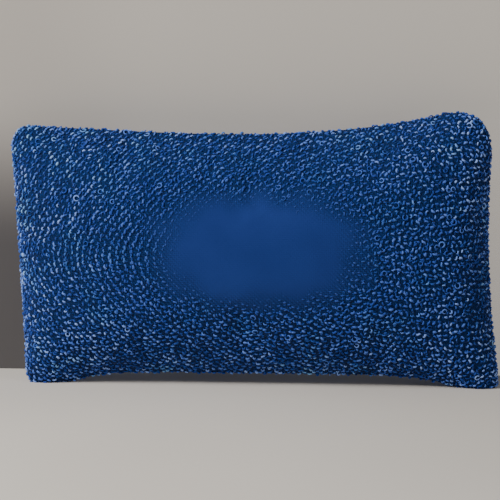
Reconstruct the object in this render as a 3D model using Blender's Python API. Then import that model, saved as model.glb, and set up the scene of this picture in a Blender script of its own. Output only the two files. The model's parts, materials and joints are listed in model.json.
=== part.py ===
"""Lumbar support cushion: a zipped boucle cover over an insert filled with fibre.

Metres, +Z up. The cushion stands on its long edge. X runs along its width, Y through its
thickness with the front facing -Y, and the origin is on the floor under the middle of it.
"""

from math import cos, pi, sin, sqrt

import bmesh
import bpy
from mathutils import Matrix, Vector

# ---- Outline of the stuffed cover, seen from the front ------------------------------
WIDTH = 0.501  # between the outermost corners
LEFT_HEIGHT = 0.2645  # of the left end, before its corners are rounded
RIGHT_HEIGHT = 0.2865  # of the right end, which is stuffed less and stands taller
THICKNESS = 0.118  # through the crown, front to back
TOP_DIP = 0.019  # how far the middle of the top edge hangs below its corners
TOP_LEAN = 0.009  # how far that hollow leans towards the right end
BOTTOM_ARCH = 0.012  # how far the middle of the bottom edge clears the floor
FLOOR_PRESS = 0.018  # how far the cushion's weight has pushed its lower corners in
LEFT_PULL = 0.001  # how far each end edge is pulled in at its middle
RIGHT_PULL = 0.009
LOWER_LEFT_INSET = 0.0145  # of the corners that stand back from the widest ones
UPPER_RIGHT_INSET = 0.010
UPPER_LEFT_RADIUS = 0.021
UPPER_RIGHT_RADIUS = 0.050
LOWER_LEFT_RADIUS = 0.032
LOWER_RIGHT_RADIUS = 0.036

# ---- Crown of the stuffed cover ------------------------------------------------------
CROWN_POWER = 4.0  # how flat the crown stays along the width
END_POWER = 0.48  # how steeply it falls at the two ends
EDGE_POWER = 0.64  # how steeply it falls at the top and bottom edges

# ---- Fabric, casing and thread ------------------------------------------------------
COVER_FABRIC = 0.0024  # boucle with its backing
COVER_THREAD = 0.0006  # diameter of the thread in the cover's seam
CASING_FABRIC = 0.0006
CASING_THREAD = 0.0004
SEAM_FOLD = 0.003  # width of the fold where two panels meet
CASING_INSET = 0.009  # how far the casing's seam lies inside the cover's
FILL_INSET = 0.005  # how far the fill's edge lies inside the casing's seam
GAP = 0.0003  # between pieces that touch
COVER_EASE = 0.0010  # slack of the cover round the insert
FILL_EASE = 0.0006  # slack of the casing round the fill

# ---- Zip across the back ------------------------------------------------------------
ZIP_HEIGHT = 0.062  # of its middle line above the floor
ZIP_LENGTH = 0.300  # of the chain, stop to stop
ZIP_PULL_IN = 0.0035  # how far the taut zip draws the crown in
ZIP_ROOM = 0.0036  # extra depth left behind the zip for the slider
ZIP_MARGIN = 0.0030  # of the flat band round the zip, beyond its tapes
ZIP_FADE = 0.030  # distance over which that band runs out into the crown
WINDOW_HALF = 0.0060  # from the zip's middle line to the edge of each back panel
WINDOW_END = 0.006  # from the stops to the start of the window's closing
WINDOW_CLOSE = 0.010  # length over which the two back panels come together
TAPE_THICK = 0.0005
TAPE_HALF = 0.0130  # from the middle line to the tape's sewn edge
TAPE_TAIL = 0.012  # of each tape beyond the chain
SLOT_HALF = 0.0007  # from the middle line to each coil
COIL_WIDTH = 0.0023
COIL_HEIGHT = 0.0016
STOP_LENGTH = 0.0022
STOP_WIDTH = 0.0026
STOP_HEIGHT = 0.0018
TOPSTITCH_OUT = 0.0030  # from the panel's edge to its row of stitches

# ---- Slider and pull tab ------------------------------------------------------------
SLIDER_LENGTH = 0.0115
SLIDER_MOUTH = 0.0092  # width at the end that opens the zip
SLIDER_TAIL = 0.0084
WING_THICK = 0.0010
SLIDER_PLAY = 0.0003  # between the slider and what runs through it
FLANGE_THICK = 0.0008
FLANGE_DEPTH = 0.0009
POST_LENGTH = 0.0030
POST_HALF = 0.00035
BRIDGE_HALF = 0.0040  # half length of the bridge that holds the pull tab
BRIDGE_WIDTH = 0.0018
BRIDGE_THICK = 0.0010
PULL_BAR = 0.0010  # side of the bar that turns under the bridge
PULL_LENGTH = 0.0230  # from that bar to the tip
PULL_WIDTH = 0.0062
PULL_ARM = 0.0014  # width of the two arms beside the bridge
PULL_HOLE = 0.0012  # radius of the hole near the tip

# ---- How finely the curved sheets are divided ----------------------------------------
COVER_COLUMNS = 22
COVER_ROWS = 17
INSERT_COLUMNS = 17
INSERT_ROWS = 13
CROWDING = 0.70  # share of the spacing that crowds towards the edges

FRONT, BACK = -1, 1
NO_LIFT = 1 - sqrt(0.5)  # how far a round corner's middle lies inside, per radius
SEAM_HALF = COVER_THREAD / 2 + GAP
CASING_SEAM_HALF = CASING_THREAD / 2 + GAP
FLAT_HALF = TAPE_HALF + ZIP_MARGIN
FLAT_END = max(TAPE_TAIL + ZIP_MARGIN, WINDOW_END + WINDOW_CLOSE)
CASING_SKIN = COVER_FABRIC + COVER_EASE
FILL_FLOOR = CASING_SKIN + CASING_FABRIC + FILL_EASE


def clear_scene():
    for thing in list(bpy.data.objects):
        bpy.data.objects.remove(thing, do_unlink=True)


def material(name, colour, roughness, metallic=0.0):
    made = bpy.data.materials.new(name)
    made.use_nodes = True
    shader = made.node_tree.nodes["Principled BSDF"]
    shader.inputs["Base Color"].default_value = (*colour, 1.0)
    shader.inputs["Roughness"].default_value = roughness
    shader.inputs["Metallic"].default_value = metallic
    return made


def add_object(name, data, finish, parent=None, place=(0.0, 0.0, 0.0)):
    made = bpy.data.objects.new(name, data)
    data.materials.append(finish)
    made.parent = parent
    made.location = place
    bpy.context.collection.objects.link(made)
    return made


def mix(start, end, share):
    return start + (end - start) * share


def fade(distance, full, width):
    """1 up to a distance, then falling smoothly to 0 over a width."""
    share = min(max((distance - full) / width, 0.0), 1.0)
    return 1 - share * share * (3 - 2 * share)


# ---- The outline as four edges that meet in the middle of the rounded corners ---------
def corner_rise(distance, radius):
    """How far a rounded corner stands out of the line through its middle."""
    along = NO_LIFT * radius + distance
    if along >= radius:
        return NO_LIFT * radius
    return NO_LIFT * radius - (radius - sqrt(radius**2 - (radius - along) ** 2))


def edge_point(start, end, radii, outward, pull, s):
    """A point of an edge, s from -1 to 1, as (x, z): a straight line between the two
    corner middles, lifted to the full edge between the corners and then pulled in."""
    share = (s + 1) / 2
    length = (end - start).length
    rise_start = corner_rise(share * length, radii[0])
    rise_end = corner_rise((1 - share) * length, radii[1])
    lift = mix(rise_start, rise_end, share) - pull
    return start.lerp(end, share) + outward * lift


LOWER_LEFT = Vector((-WIDTH / 2 + LOWER_LEFT_INSET, -FLOOR_PRESS))
LOWER_RIGHT = Vector((WIDTH / 2, -FLOOR_PRESS))
UPPER_LEFT = Vector((-WIDTH / 2, LEFT_HEIGHT))
UPPER_RIGHT = Vector((WIDTH / 2 - UPPER_RIGHT_INSET, RIGHT_HEIGHT))
MIDDLE_LOWER_LEFT = LOWER_LEFT + Vector((1, 1)) * NO_LIFT * LOWER_LEFT_RADIUS
MIDDLE_LOWER_RIGHT = LOWER_RIGHT + Vector((-1, 1)) * NO_LIFT * LOWER_RIGHT_RADIUS
MIDDLE_UPPER_LEFT = UPPER_LEFT + Vector((1, -1)) * NO_LIFT * UPPER_LEFT_RADIUS
MIDDLE_UPPER_RIGHT = UPPER_RIGHT + Vector((-1, -1)) * NO_LIFT * UPPER_RIGHT_RADIUS


def bottom_edge(u):
    pull = (FLOOR_PRESS + BOTTOM_ARCH) * (1 - u**6)
    radii = (LOWER_LEFT_RADIUS, LOWER_RIGHT_RADIUS)
    return edge_point(MIDDLE_LOWER_LEFT, MIDDLE_LOWER_RIGHT, radii, Vector((0, -1)), pull, u)


def top_edge(u):
    pull = (1 - u * u) * (TOP_DIP + TOP_LEAN * u)
    radii = (UPPER_LEFT_RADIUS, UPPER_RIGHT_RADIUS)
    return edge_point(MIDDLE_UPPER_LEFT, MIDDLE_UPPER_RIGHT, radii, Vector((0, 1)), pull, u)


def left_edge(v):
    radii = (LOWER_LEFT_RADIUS, UPPER_LEFT_RADIUS)
    pull = LEFT_PULL * (1 - v * v)
    return edge_point(MIDDLE_LOWER_LEFT, MIDDLE_UPPER_LEFT, radii, Vector((-1, 0)), pull, v)


def right_edge(v):
    radii = (LOWER_RIGHT_RADIUS, UPPER_RIGHT_RADIUS)
    pull = RIGHT_PULL * (1 - v * v)
    return edge_point(MIDDLE_LOWER_RIGHT, MIDDLE_UPPER_RIGHT, radii, Vector((1, 0)), pull, v)


def flat_point(u, v):
    """A point (x, z) of the area inside the outline, u and v from -1 to 1."""
    across, up = (u + 1) / 2, (v + 1) / 2
    sides = left_edge(v).lerp(right_edge(v), across)
    ends = bottom_edge(u).lerp(top_edge(u), up)
    low = MIDDLE_LOWER_LEFT.lerp(MIDDLE_LOWER_RIGHT, across)
    high = MIDDLE_UPPER_LEFT.lerp(MIDDLE_UPPER_RIGHT, across)
    return sides + ends - low.lerp(high, up)


def solve(find, target):
    """The parameter from -1 to 1 at which a rising function reaches a value."""
    low, high = -1.0, 1.0
    for _ in range(40):
        middle = (low + high) / 2
        if find(middle) < target:
            low = middle
        else:
            high = middle
    return (low + high) / 2


OUTLINE_LEFT = min(left_edge(i / 50 - 1).x for i in range(101))
OUTLINE_RIGHT = max(right_edge(i / 50 - 1).x for i in range(101))
CENTRE_X = (OUTLINE_LEFT + OUTLINE_RIGHT) / 2


# ---- The crowned surface of the cover -------------------------------------------------
def crown_depth(u, v):
    bulge = THICKNESS / 2 - SEAM_HALF - COVER_FABRIC
    along = max(1 - abs(u) ** CROWN_POWER, 0.0) ** END_POWER
    across = max(1 - v * v, 0.0) ** EDGE_POWER
    return SEAM_HALF + COVER_FABRIC + bulge * along * across


def zip_frame():
    """Where the zip's middle line crosses the cushion's middle, and its slope there."""
    v = solve(lambda v: flat_point(0, v).y, ZIP_HEIGHT)
    step = 0.01
    rise = flat_point(0, v + step).y - flat_point(0, v - step).y
    swell = crown_depth(0, v + step) - crown_depth(0, v - step)
    up = Vector((0, swell, rise)).normalized()
    return Vector((0, crown_depth(0, v) - ZIP_PULL_IN, ZIP_HEIGHT)), up


ZIP_ORIGIN, ZIP_UP = zip_frame()
ZIP_RIGHT = Vector((-1, 0, 0))  # as seen from behind, towards the closed end
ZIP_OUT = ZIP_RIGHT.cross(ZIP_UP)


def zip_share(x, z):
    """How firmly the zip holds the back surface flat: 1 on it, 0 away from it."""
    beyond = abs(x) - ZIP_LENGTH / 2
    above = abs(z - ZIP_ORIGIN.z) / ZIP_UP.z
    return fade(beyond, FLAT_END, ZIP_FADE) * fade(above, FLAT_HALF, ZIP_FADE)


def cover_point(u, v, side):
    """A point of the cover's outer surface before the floor flattens it."""
    x, z = flat_point(u, v)
    x -= CENTRE_X
    depth = crown_depth(u, v)
    if side == BACK:
        plane = ZIP_ORIGIN.y + (z - ZIP_ORIGIN.z) * ZIP_UP.y / ZIP_UP.z
        depth = mix(depth, plane, zip_share(x, z))
    return Vector((x, side * depth, z))


def cover_normal(u, v, side):
    step = 0.004
    left, right = max(u - step, -1), min(u + step, 1)
    low, high = max(v - step, -1), min(v + step, 1)
    along = cover_point(right, v, side) - cover_point(left, v, side)
    up = cover_point(u, high, side) - cover_point(u, low, side)
    return along.cross(up).normalized() * -side


# ---- Sheets made of rows and columns of points ----------------------------------------
def spread(count, edge):
    """Values from -1 to 1 that crowd towards both ends, with one narrow step at each."""
    values = [2 * i / (count - 1) - 1 for i in range(count)]
    crowded = [mix(t, sin(pi / 2 * t), CROWDING) * (1 - edge) for t in values]
    return [-1.0, *crowded, 1.0]


def sheet_normals(rows, side):
    """The outward normal at each point of a grid of points."""
    last_row, last_column = len(rows) - 1, len(rows[0]) - 1
    normals = []
    for r, row in enumerate(rows):
        line = []
        for c in range(len(row)):
            along = row[min(c + 1, last_column)] - row[max(c - 1, 0)]
            up = rows[min(r + 1, last_row)][c] - rows[max(r - 1, 0)][c]
            line.append(along.cross(up).normalized() * -side)
        normals.append(line)
    return normals


def raised(point, floor):
    return Vector((point.x, point.y, max(point.z, floor)))


def seam_lip(rim, inside, side, seam_half):
    """The inner corner of a seam's folded lip: towards the next ring, at the seam."""
    lip = rim.lerp(inside, 0.7)
    return Vector((lip.x, side * seam_half, lip.z))


def inner_sheet(rows, side, thick, seam_half, seams):
    """The inner face of a panel: each point moved in by the fabric's thickness, and the
    points on a seam moved to the inner corner of its lip. seams says which of the
    bottom, top, left and right edges are seams."""
    normals = sheet_normals(rows, side)
    last_row, last_column = len(rows) - 1, len(rows[0]) - 1
    inner = []
    for r, row in enumerate(rows):
        line = []
        for c, point in enumerate(row):
            next_row = r + (seams[0] and r == 0) - (seams[1] and r == last_row)
            next_column = c + (seams[2] and c == 0) - (seams[3] and c == last_column)
            if (next_row, next_column) != (r, c):
                line.append(seam_lip(point, rows[next_row][next_column], side, seam_half))
                continue
            moved = point - normals[r][c] * thick
            moved.y = side * max(side * moved.y, seam_half)
            line.append(moved)
        inner.append(line)
    return inner


def add_faces(bm, rows, flip):
    """Each four points as two triangles. Their shared diagonal runs inwards from the
    nearest corner of the sheet, in every layer alike, so that layers whose points are
    parallel never cross and no triangle lies along the outline."""
    row_count, column_count = len(rows) - 1, len(rows[0]) - 1
    for r in range(row_count):
        for i in range(column_count):
            a, b, c, d = rows[r][i], rows[r][i + 1], rows[r + 1][i + 1], rows[r + 1][i]
            pairs = ((a, b, c), (a, c, d))
            if (2 * r < row_count) != (2 * i < column_count):
                pairs = ((a, b, d), (b, c, d))
            for corners in pairs:
                bm.faces.new(corners[::-1] if flip else corners)


def rim(rows):
    """The points round a grid, once each."""
    right = [row[-1] for row in rows[1:-1]]
    left = [row[0] for row in rows[-2:0:-1]]
    return [*rows[0], *right, *rows[-1][::-1], *left]


def panel_mesh(name, outer, inner, side, floor, thick):
    """A closed panel between two grids. Nothing of it lies below the floor."""
    bm = bmesh.new()
    out = [[bm.verts.new(raised(p, floor)) for p in row] for row in outer]
    ins = [[bm.verts.new(raised(p, floor + thick)) for p in row] for row in inner]
    add_faces(bm, out, side == BACK)
    add_faces(bm, ins, side == FRONT)
    outer_rim, inner_rim = rim(out), rim(ins)
    for i, (a, d) in enumerate(zip(outer_rim, inner_rim)):
        b, c = outer_rim[i - len(outer_rim) + 1], inner_rim[i - len(inner_rim) + 1]
        bm.faces.new((a, b, c, d) if side == BACK else (d, c, b, a))
    mesh = bpy.data.meshes.new(name)
    bm.to_mesh(mesh)
    bm.free()
    mesh.shade_smooth()
    mesh.set_sharp_from_angle(angle=0.7)
    return mesh


# ---- Cover panels -----------------------------------------------------------------------
def zip_line_column(x):
    """The column parameter at which the zip's line passes a place along the width."""

    def place(u):
        v = solve(lambda v: flat_point(u, v).y, ZIP_HEIGHT)
        return flat_point(u, v).x - CENTRE_X

    return solve(place, x)


def cover_columns():
    """Columns of the cover, with two at each end of the window for the zip."""
    columns = spread(COVER_COLUMNS, 2 * SEAM_FOLD / WIDTH)
    opened = ZIP_LENGTH / 2 + WINDOW_END
    closed = opened + WINDOW_CLOSE
    extra = [zip_line_column(x) for x in (-closed, -opened, opened, closed)]
    near = WINDOW_CLOSE / WIDTH
    kept = [u for u in columns if min(abs(u - e) for e in extra) > near]
    return sorted(kept + extra)


def seam_step():
    return 4 * SEAM_FOLD / (LEFT_HEIGHT + RIGHT_HEIGHT)


def cover_grid(side, columns, rows_at):
    """The outer points of a panel, with those on the outline drawn to the seam."""
    grid = []
    for row in zip(*(rows_at(u) for u in columns)):
        line = []
        for u, v in zip(columns, row):
            point = cover_point(u, v, side)
            if abs(u) == 1 or abs(v) == 1:
                point.y = side * SEAM_HALF
            line.append(point)
        grid.append(line)
    return grid


def add_cover_panel(name, side, columns, rows_at, seams, finish):
    outer = cover_grid(side, columns, rows_at)
    inner = inner_sheet(outer, side, COVER_FABRIC, SEAM_HALF, seams)
    return add_object(name, panel_mesh(name, outer, inner, side, 0.0, COVER_FABRIC), finish)


def window_half(x):
    """Distance from the zip's middle line to a back panel's edge, along the surface."""
    return mix(GAP, WINDOW_HALF, fade(abs(x) - ZIP_LENGTH / 2, WINDOW_END, WINDOW_CLOSE))


def row_beside_zip(u, distance):
    """The row parameter at a signed distance from the zip's line, along the surface."""
    return solve(lambda v: flat_point(u, v).y, ZIP_HEIGHT + distance * ZIP_UP.z)


def back_rows(side_of_zip, count):
    """Rows of a back panel at each column: one narrow step at the outline, even steps to
    the band that the zip holds flat, and one across that band to the panel's edge."""

    def rows_at(u):
        x = flat_point(u, row_beside_zip(u, 0)).x - CENTRE_X
        edge = row_beside_zip(u, side_of_zip * window_half(x))
        band = row_beside_zip(u, side_of_zip * FLAT_HALF)
        start = side_of_zip * (1 - seam_step())
        even = [mix(start, band, i / (count - 1)) for i in range(count)]
        return sorted([side_of_zip, *even, edge])

    return rows_at


def add_cover(boucle, thread):
    columns = cover_columns()
    front_rows = spread(COVER_ROWS, seam_step())
    add_cover_panel(
        "cover_front_panel", FRONT, columns, lambda u: front_rows, (1, 1, 1, 1), boucle
    )
    add_cover_panel(
        "cover_back_upper_panel", BACK, columns, back_rows(1, COVER_ROWS - 4), (0, 1, 1, 1), boucle
    )
    add_cover_panel(
        "cover_back_lower_panel", BACK, columns, back_rows(-1, 4), (1, 0, 1, 1), boucle
    )
    add_seam_thread("cover_seam_thread", COVER_THREAD, SEAM_FOLD * 0.4, 0.0, thread)


# ---- Threads ----------------------------------------------------------------------------
def add_thread(name, points, diameter, closed, finish, parent=None):
    """A thread as a round tube through points."""
    data = bpy.data.curves.new(name, "CURVE")
    data.dimensions = "3D"
    data.bevel_depth = diameter / 2
    data.bevel_resolution = 1
    data.use_fill_caps = True
    line = data.splines.new("POLY")
    line.points.add(len(points) - 1)
    for knot, point in zip(line.points, points):
        knot.co = (*point, 1.0)
    line.use_cyclic_u = closed
    return add_object(name, data, finish, parent)


def inset_shares(inset):
    """How far u and v reach on a piece whose outline lies inside the cover's."""
    return 1 - 2 * inset / WIDTH, 1 - 4 * inset / (LEFT_HEIGHT + RIGHT_HEIGHT)


def add_seam_thread(name, diameter, inset, floor, finish):
    """The thread of a seam round an outline, lying between the two folded lips."""
    reach_u, reach_v = inset_shares(inset)
    across = [reach_u * t for t in spread(COVER_COLUMNS, 0.02)]
    up = [reach_v * t for t in spread(COVER_ROWS, 0.03)]
    turn = [(u, -reach_v) for u in across[:-1]]
    turn += [(reach_u, v) for v in up[:-1]]
    turn += [(u, reach_v) for u in across[:0:-1]]
    turn += [(-reach_u, v) for v in up[:0:-1]]
    points = []
    for u, v in turn:
        x, z = flat_point(u, v)
        points.append(Vector((x - CENTRE_X, 0.0, max(z, floor + SEAM_FOLD * 0.4))))
    add_thread(name, points, diameter, True, finish)


# ---- Insert -----------------------------------------------------------------------------
def casing_lines():
    """The columns and rows of the casing's sheets, from -1 to 1 across its own outline."""
    columns = spread(INSERT_COLUMNS, 2 * SEAM_FOLD / WIDTH)
    return columns, spread(INSERT_ROWS, seam_step())


def casing_grid(side):
    """The outer points of a casing panel: the cover's surface moved in by the fabric and
    the cover's slack, drawn to the casing's own seam, with room behind the zip."""
    reach_u, reach_v = inset_shares(CASING_INSET)
    columns, rows = casing_lines()
    grid = []
    for t in rows:
        line = []
        for s in columns:
            u, v = s * reach_u, t * reach_v
            surface = cover_point(u, v, side)
            room = ZIP_ROOM * zip_share(surface.x, surface.z) if side == BACK else 0.0
            point = surface - cover_normal(u, v, side) * (CASING_SKIN + room)
            point.y = side * max(side * point.y, CASING_SEAM_HALF)
            seam = Vector((surface.x, side * CASING_SEAM_HALF, surface.z))
            plump = sqrt((1 - abs(s) ** 14) * (1 - abs(t) ** 7))
            line.append(seam.lerp(point, plump))
        grid.append(line)
    return grid


def add_casing(name, side, finish):
    outer = casing_grid(side)
    inner = inner_sheet(outer, side, CASING_FABRIC, CASING_SEAM_HALF, (1, 1, 1, 1))
    add_object(name, panel_mesh(name, outer, inner, side, CASING_SKIN, CASING_FABRIC), finish)


def fill_grid(side):
    """The fill's points under a casing panel: parallel to it inside, and drawn together
    to a round edge that stops short of the casing's seam."""
    casing = casing_grid(side)
    normals = sheet_normals(casing, side)
    columns, rows = casing_lines()
    reach_u, reach_v = inset_shares(CASING_INSET)
    end_u, end_v = inset_shares(CASING_INSET + FILL_INSET)
    first, last_row, last_column = 2, len(rows) - 3, len(columns) - 3
    grid = []
    for r in range(first - 1, last_row + 2):
        line = []
        for c in range(first - 1, last_column + 2):
            if first <= r <= last_row and first <= c <= last_column:
                line.append(casing[r][c] - normals[r][c] * (CASING_FABRIC + FILL_EASE))
                continue
            u = min(max(columns[c] * reach_u, -end_u), end_u)
            v = min(max(rows[r] * reach_v, -end_v), end_v)
            x, z = flat_point(u, v)
            line.append(Vector((x - CENTRE_X, 0.0, z)))
        grid.append(line)
    return grid


def add_fill(finish):
    """The fill as one closed lens: a front and a back that share their outline."""
    bm = bmesh.new()
    for side in (FRONT, BACK):
        rows = [[bm.verts.new(raised(p, FILL_FLOOR)) for p in row] for row in fill_grid(side)]
        add_faces(bm, rows, side == BACK)
    bmesh.ops.remove_doubles(bm, verts=bm.verts, dist=0.00005)
    mesh = bpy.data.meshes.new("insert_fill")
    bm.to_mesh(mesh)
    bm.free()
    mesh.shade_smooth()
    add_object("insert_fill", mesh, finish)


def add_insert(casing, fibre, thread):
    add_casing("insert_front_casing", FRONT, casing)
    add_casing("insert_back_casing", BACK, casing)
    add_seam_thread(
        "insert_seam_thread", CASING_THREAD, CASING_INSET + SEAM_FOLD * 0.4, CASING_SKIN, thread
    )
    add_fill(fibre)


# ---- Zip, in its own frame: x to the right as seen from behind, y up, z out of the back --
TAPE_TOP = -COVER_FABRIC - GAP
TAPE_BOTTOM = TAPE_TOP - TAPE_THICK
COIL_BOTTOM = TAPE_TOP + GAP
COIL_TOP = COIL_BOTTOM + COIL_HEIGHT
WING_BOTTOM = COIL_TOP + SLIDER_PLAY
WING_TOP = WING_BOTTOM + WING_THICK
LOWER_WING_TOP = TAPE_BOTTOM - SLIDER_PLAY
LOWER_WING_BOTTOM = LOWER_WING_TOP - WING_THICK
HINGE_HEIGHT = WING_TOP + SLIDER_PLAY + PULL_BAR * sqrt(0.5)
BRIDGE_UNDER = HINGE_HEIGHT + PULL_BAR * sqrt(0.5) + SLIDER_PLAY / 2
BRIDGE_TOP = BRIDGE_UNDER + BRIDGE_THICK
CHAIN_END = ZIP_LENGTH / 2
SLIDER_X = CHAIN_END - SLIDER_LENGTH / 2


def prism(name, outline, low, high, upright=False):
    """An outline pulled up from low to high, or standing up along y if upright."""
    bm = bmesh.new()
    if upright:
        base = [bm.verts.new((a, low, b)) for a, b in outline]
        way = Vector((0, high - low, 0))
    else:
        base = [bm.verts.new((a, b, low)) for a, b in outline]
        way = Vector((0, 0, high - low))
    face = bm.faces.new(base)
    pulled = bmesh.ops.extrude_face_region(bm, geom=[face])["geom"]
    moved = [item for item in pulled if isinstance(item, bmesh.types.BMVert)]
    bmesh.ops.translate(bm, verts=moved, vec=way)
    bmesh.ops.recalc_face_normals(bm, faces=bm.faces)
    mesh = bpy.data.meshes.new(name)
    bm.to_mesh(mesh)
    bm.free()
    return mesh


def rectangle(left, right, low, high):
    return [(left, low), (right, low), (right, high), (left, high)]


def add_guide(name, mesh, parent, place=(0.0, 0.0, 0.0)):
    """A shape that only adds to or cuts another one."""
    made = bpy.data.objects.new(name, mesh)
    made.parent = parent
    made.location = place
    made.hide_render = True
    made.display_type = "WIRE"
    bpy.context.collection.objects.link(made)
    return made


def combine(piece, guide, operation):
    step = piece.modifiers.new(guide.name, "BOOLEAN")
    step.operation = operation
    step.object = guide
    step.solver = "EXACT"


def add_zip_frame():
    frame = bpy.data.objects.new("zip_line", None)
    columns = Matrix((ZIP_RIGHT, ZIP_UP, ZIP_OUT)).transposed()
    frame.matrix_world = Matrix.Translation(ZIP_ORIGIN) @ columns.to_4x4()
    bpy.context.collection.objects.link(frame)
    return frame


def add_chain(frame, side_of_zip, word, tape, nylon, metal, thread):
    """One half of the zip: its tape, coil, top stop and the thread that sews it on."""

    def strip(left, right, near, far):
        edges = sorted((side_of_zip * near, side_of_zip * far))
        return rectangle(left, right, *edges)

    reach = CHAIN_END + TAPE_TAIL
    name = f"zip_{word}_tape"
    outline = strip(-reach, reach, SLOT_HALF, TAPE_HALF)
    add_object(name, prism(name, outline, TAPE_BOTTOM, TAPE_TOP), tape, frame)
    name = f"zip_{word}_coil"
    outline = strip(-CHAIN_END, CHAIN_END, SLOT_HALF, SLOT_HALF + COIL_WIDTH)
    coil = add_object(name, prism(name, outline, COIL_BOTTOM, COIL_TOP), nylon, frame)
    rounding = coil.modifiers.new("rounding", "BEVEL")
    rounding.width = COIL_HEIGHT / 4
    rounding.segments = 2
    name = f"zip_{word}_top_stop"
    start = CHAIN_END + GAP
    outline = strip(start, start + STOP_LENGTH, SLOT_HALF, SLOT_HALF + STOP_WIDTH)
    add_object(name, prism(name, outline, COIL_BOTTOM, COIL_BOTTOM + STOP_HEIGHT), metal, frame)
    row = side_of_zip * (WINDOW_HALF + TOPSTITCH_OUT)
    height = GAP + COVER_THREAD / 2
    ends = [Vector((-CHAIN_END, row, height)), Vector((CHAIN_END, row, height))]
    add_thread(f"zip_{word}_topstitch", ends, COVER_THREAD, False, thread, frame)


def add_bottom_stop(frame, metal):
    name = "zip_bottom_stop"
    end = -CHAIN_END - GAP
    reach = SLOT_HALF + STOP_WIDTH
    outline = rectangle(end - STOP_LENGTH, end, -reach, reach)
    add_object(name, prism(name, outline, COIL_BOTTOM, COIL_BOTTOM + STOP_HEIGHT), metal, frame)


def add_slider(frame, metal):
    """Two wings on a post, with flanges that guide the coils and a bridge on top."""
    half = SLIDER_LENGTH / 2
    mouth, tail = SLIDER_MOUTH / 2, SLIDER_TAIL / 2
    wing = [(-half, -tail), (half, -mouth), (half, mouth), (-half, tail)]
    place = (SLIDER_X, 0.0, 0.0)
    name = "zip_slider_body"
    top = prism(name, wing, WING_BOTTOM, WING_TOP)
    slider = add_object(name, top, metal, frame, place)
    lower = prism("lower_wing", wing, LOWER_WING_BOTTOM, LOWER_WING_TOP)
    bite = WING_THICK / 2  # how deep the joining shapes reach into the wings
    post_outline = rectangle(half - POST_LENGTH, half - bite, -POST_HALF, POST_HALF)
    post = prism("post", post_outline, LOWER_WING_TOP - bite, WING_BOTTOM + bite)
    shapes = [("lower_wing", lower), ("post", post)]
    for sign in (-1, 1):
        outer, near = sign * (tail - GAP), sign * (tail - GAP - FLANGE_THICK)
        flange = rectangle(-half + bite, half - bite, *sorted((near, outer)))
        name = f"upper_flange_{sign}"
        low = WING_BOTTOM - FLANGE_DEPTH
        shapes.append((name, prism(name, flange, low, WING_BOTTOM + bite)))
    inner = BRIDGE_HALF - BRIDGE_THICK
    foot = WING_TOP - bite
    arch = [
        (-BRIDGE_HALF, foot),
        (-inner, foot),
        (-inner, BRIDGE_UNDER),
        (inner, BRIDGE_UNDER),
        (inner, foot),
        (BRIDGE_HALF, foot),
        (BRIDGE_HALF, BRIDGE_UNDER),
        (inner, BRIDGE_TOP),
        (-inner, BRIDGE_TOP),
        (-BRIDGE_HALF, BRIDGE_UNDER),
    ]
    wide = BRIDGE_WIDTH / 2
    shapes.append(("bridge", prism("bridge", arch, -wide, wide, upright=True)))
    for name, mesh in shapes:
        combine(slider, add_guide(name, mesh, frame, place), "UNION")


def add_pull_tab(frame, metal):
    """A flat tab with a window round the bridge. Its origin is on the bar it turns on."""
    place = (SLIDER_X, 0.0, HINGE_HEIGHT)
    bar, wide = PULL_BAR / 2, PULL_WIDTH / 2
    tip = -PULL_LENGTH
    turns = [pi / 2 + pi * i / 10 for i in range(11)]
    round_tip = [(tip + wide + wide * cos(a), wide * sin(a)) for a in turns]
    outline = [(bar, wide), *round_tip, (bar, -wide)]
    name = "zip_pull_tab"
    tab = add_object(name, prism(name, outline, -bar, bar), metal, frame, place)
    opening = wide - PULL_ARM
    far = -BRIDGE_HALF - SLIDER_PLAY * 2
    window = prism("pull_window", rectangle(far, -bar, -opening, opening), -PULL_BAR, PULL_BAR)
    combine(tab, add_guide("pull_window", window, frame, place), "DIFFERENCE")
    circle = [2 * pi * i / 14 for i in range(14)]
    middle = tip + wide
    round_hole = [(middle + PULL_HOLE * cos(a), PULL_HOLE * sin(a)) for a in circle]
    hole = prism("pull_hole", round_hole, -PULL_BAR, PULL_BAR)
    combine(tab, add_guide("pull_hole", hole, frame, place), "DIFFERENCE")


def add_zip(tape, nylon, metal, thread):
    frame = add_zip_frame()
    for side_of_zip, word in ((1, "upper"), (-1, "lower")):
        add_chain(frame, side_of_zip, word, tape, nylon, metal, thread)
    add_bottom_stop(frame, metal)
    add_slider(frame, metal)
    add_pull_tab(frame, metal)


def main():
    clear_scene()
    boucle = material("navy_boucle", (0.013, 0.053, 0.171), 0.92)
    thread = material("navy_thread", (0.008, 0.028, 0.095), 0.65)
    tape = material("navy_tape", (0.010, 0.034, 0.110), 0.80)
    nylon = material("navy_nylon", (0.008, 0.026, 0.085), 0.45)
    metal = material("nickel_plate", (0.62, 0.61, 0.59), 0.28, 1.0)
    casing = material("white_casing", (0.80, 0.79, 0.76), 0.85)
    fibre = material("white_fibre", (0.86, 0.85, 0.83), 0.95)
    add_cover(boucle, thread)
    add_insert(casing, fibre, casing)
    add_zip(tape, nylon, metal, thread)
    bpy.context.view_layer.update()


main()
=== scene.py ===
# %% [markdown]
# # A lumbar cushion in looped cloth
# The cushion is a zipped cover of boucle, a cloth woven with curly yarn, round an insert filled
# with fibre. The CAD model has fixed where every piece lies. This lesson dresses that model:
# soft cloth, thousands of yarn loops, real stitches, a zip and the light to see them by.
# The first step loads the fixed model.

# %% Load the frame
import json
from functools import cache
from math import cos, exp, pi, radians, sin, sqrt

import bmesh
import bpy
from mathutils import Matrix, Vector, noise

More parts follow.
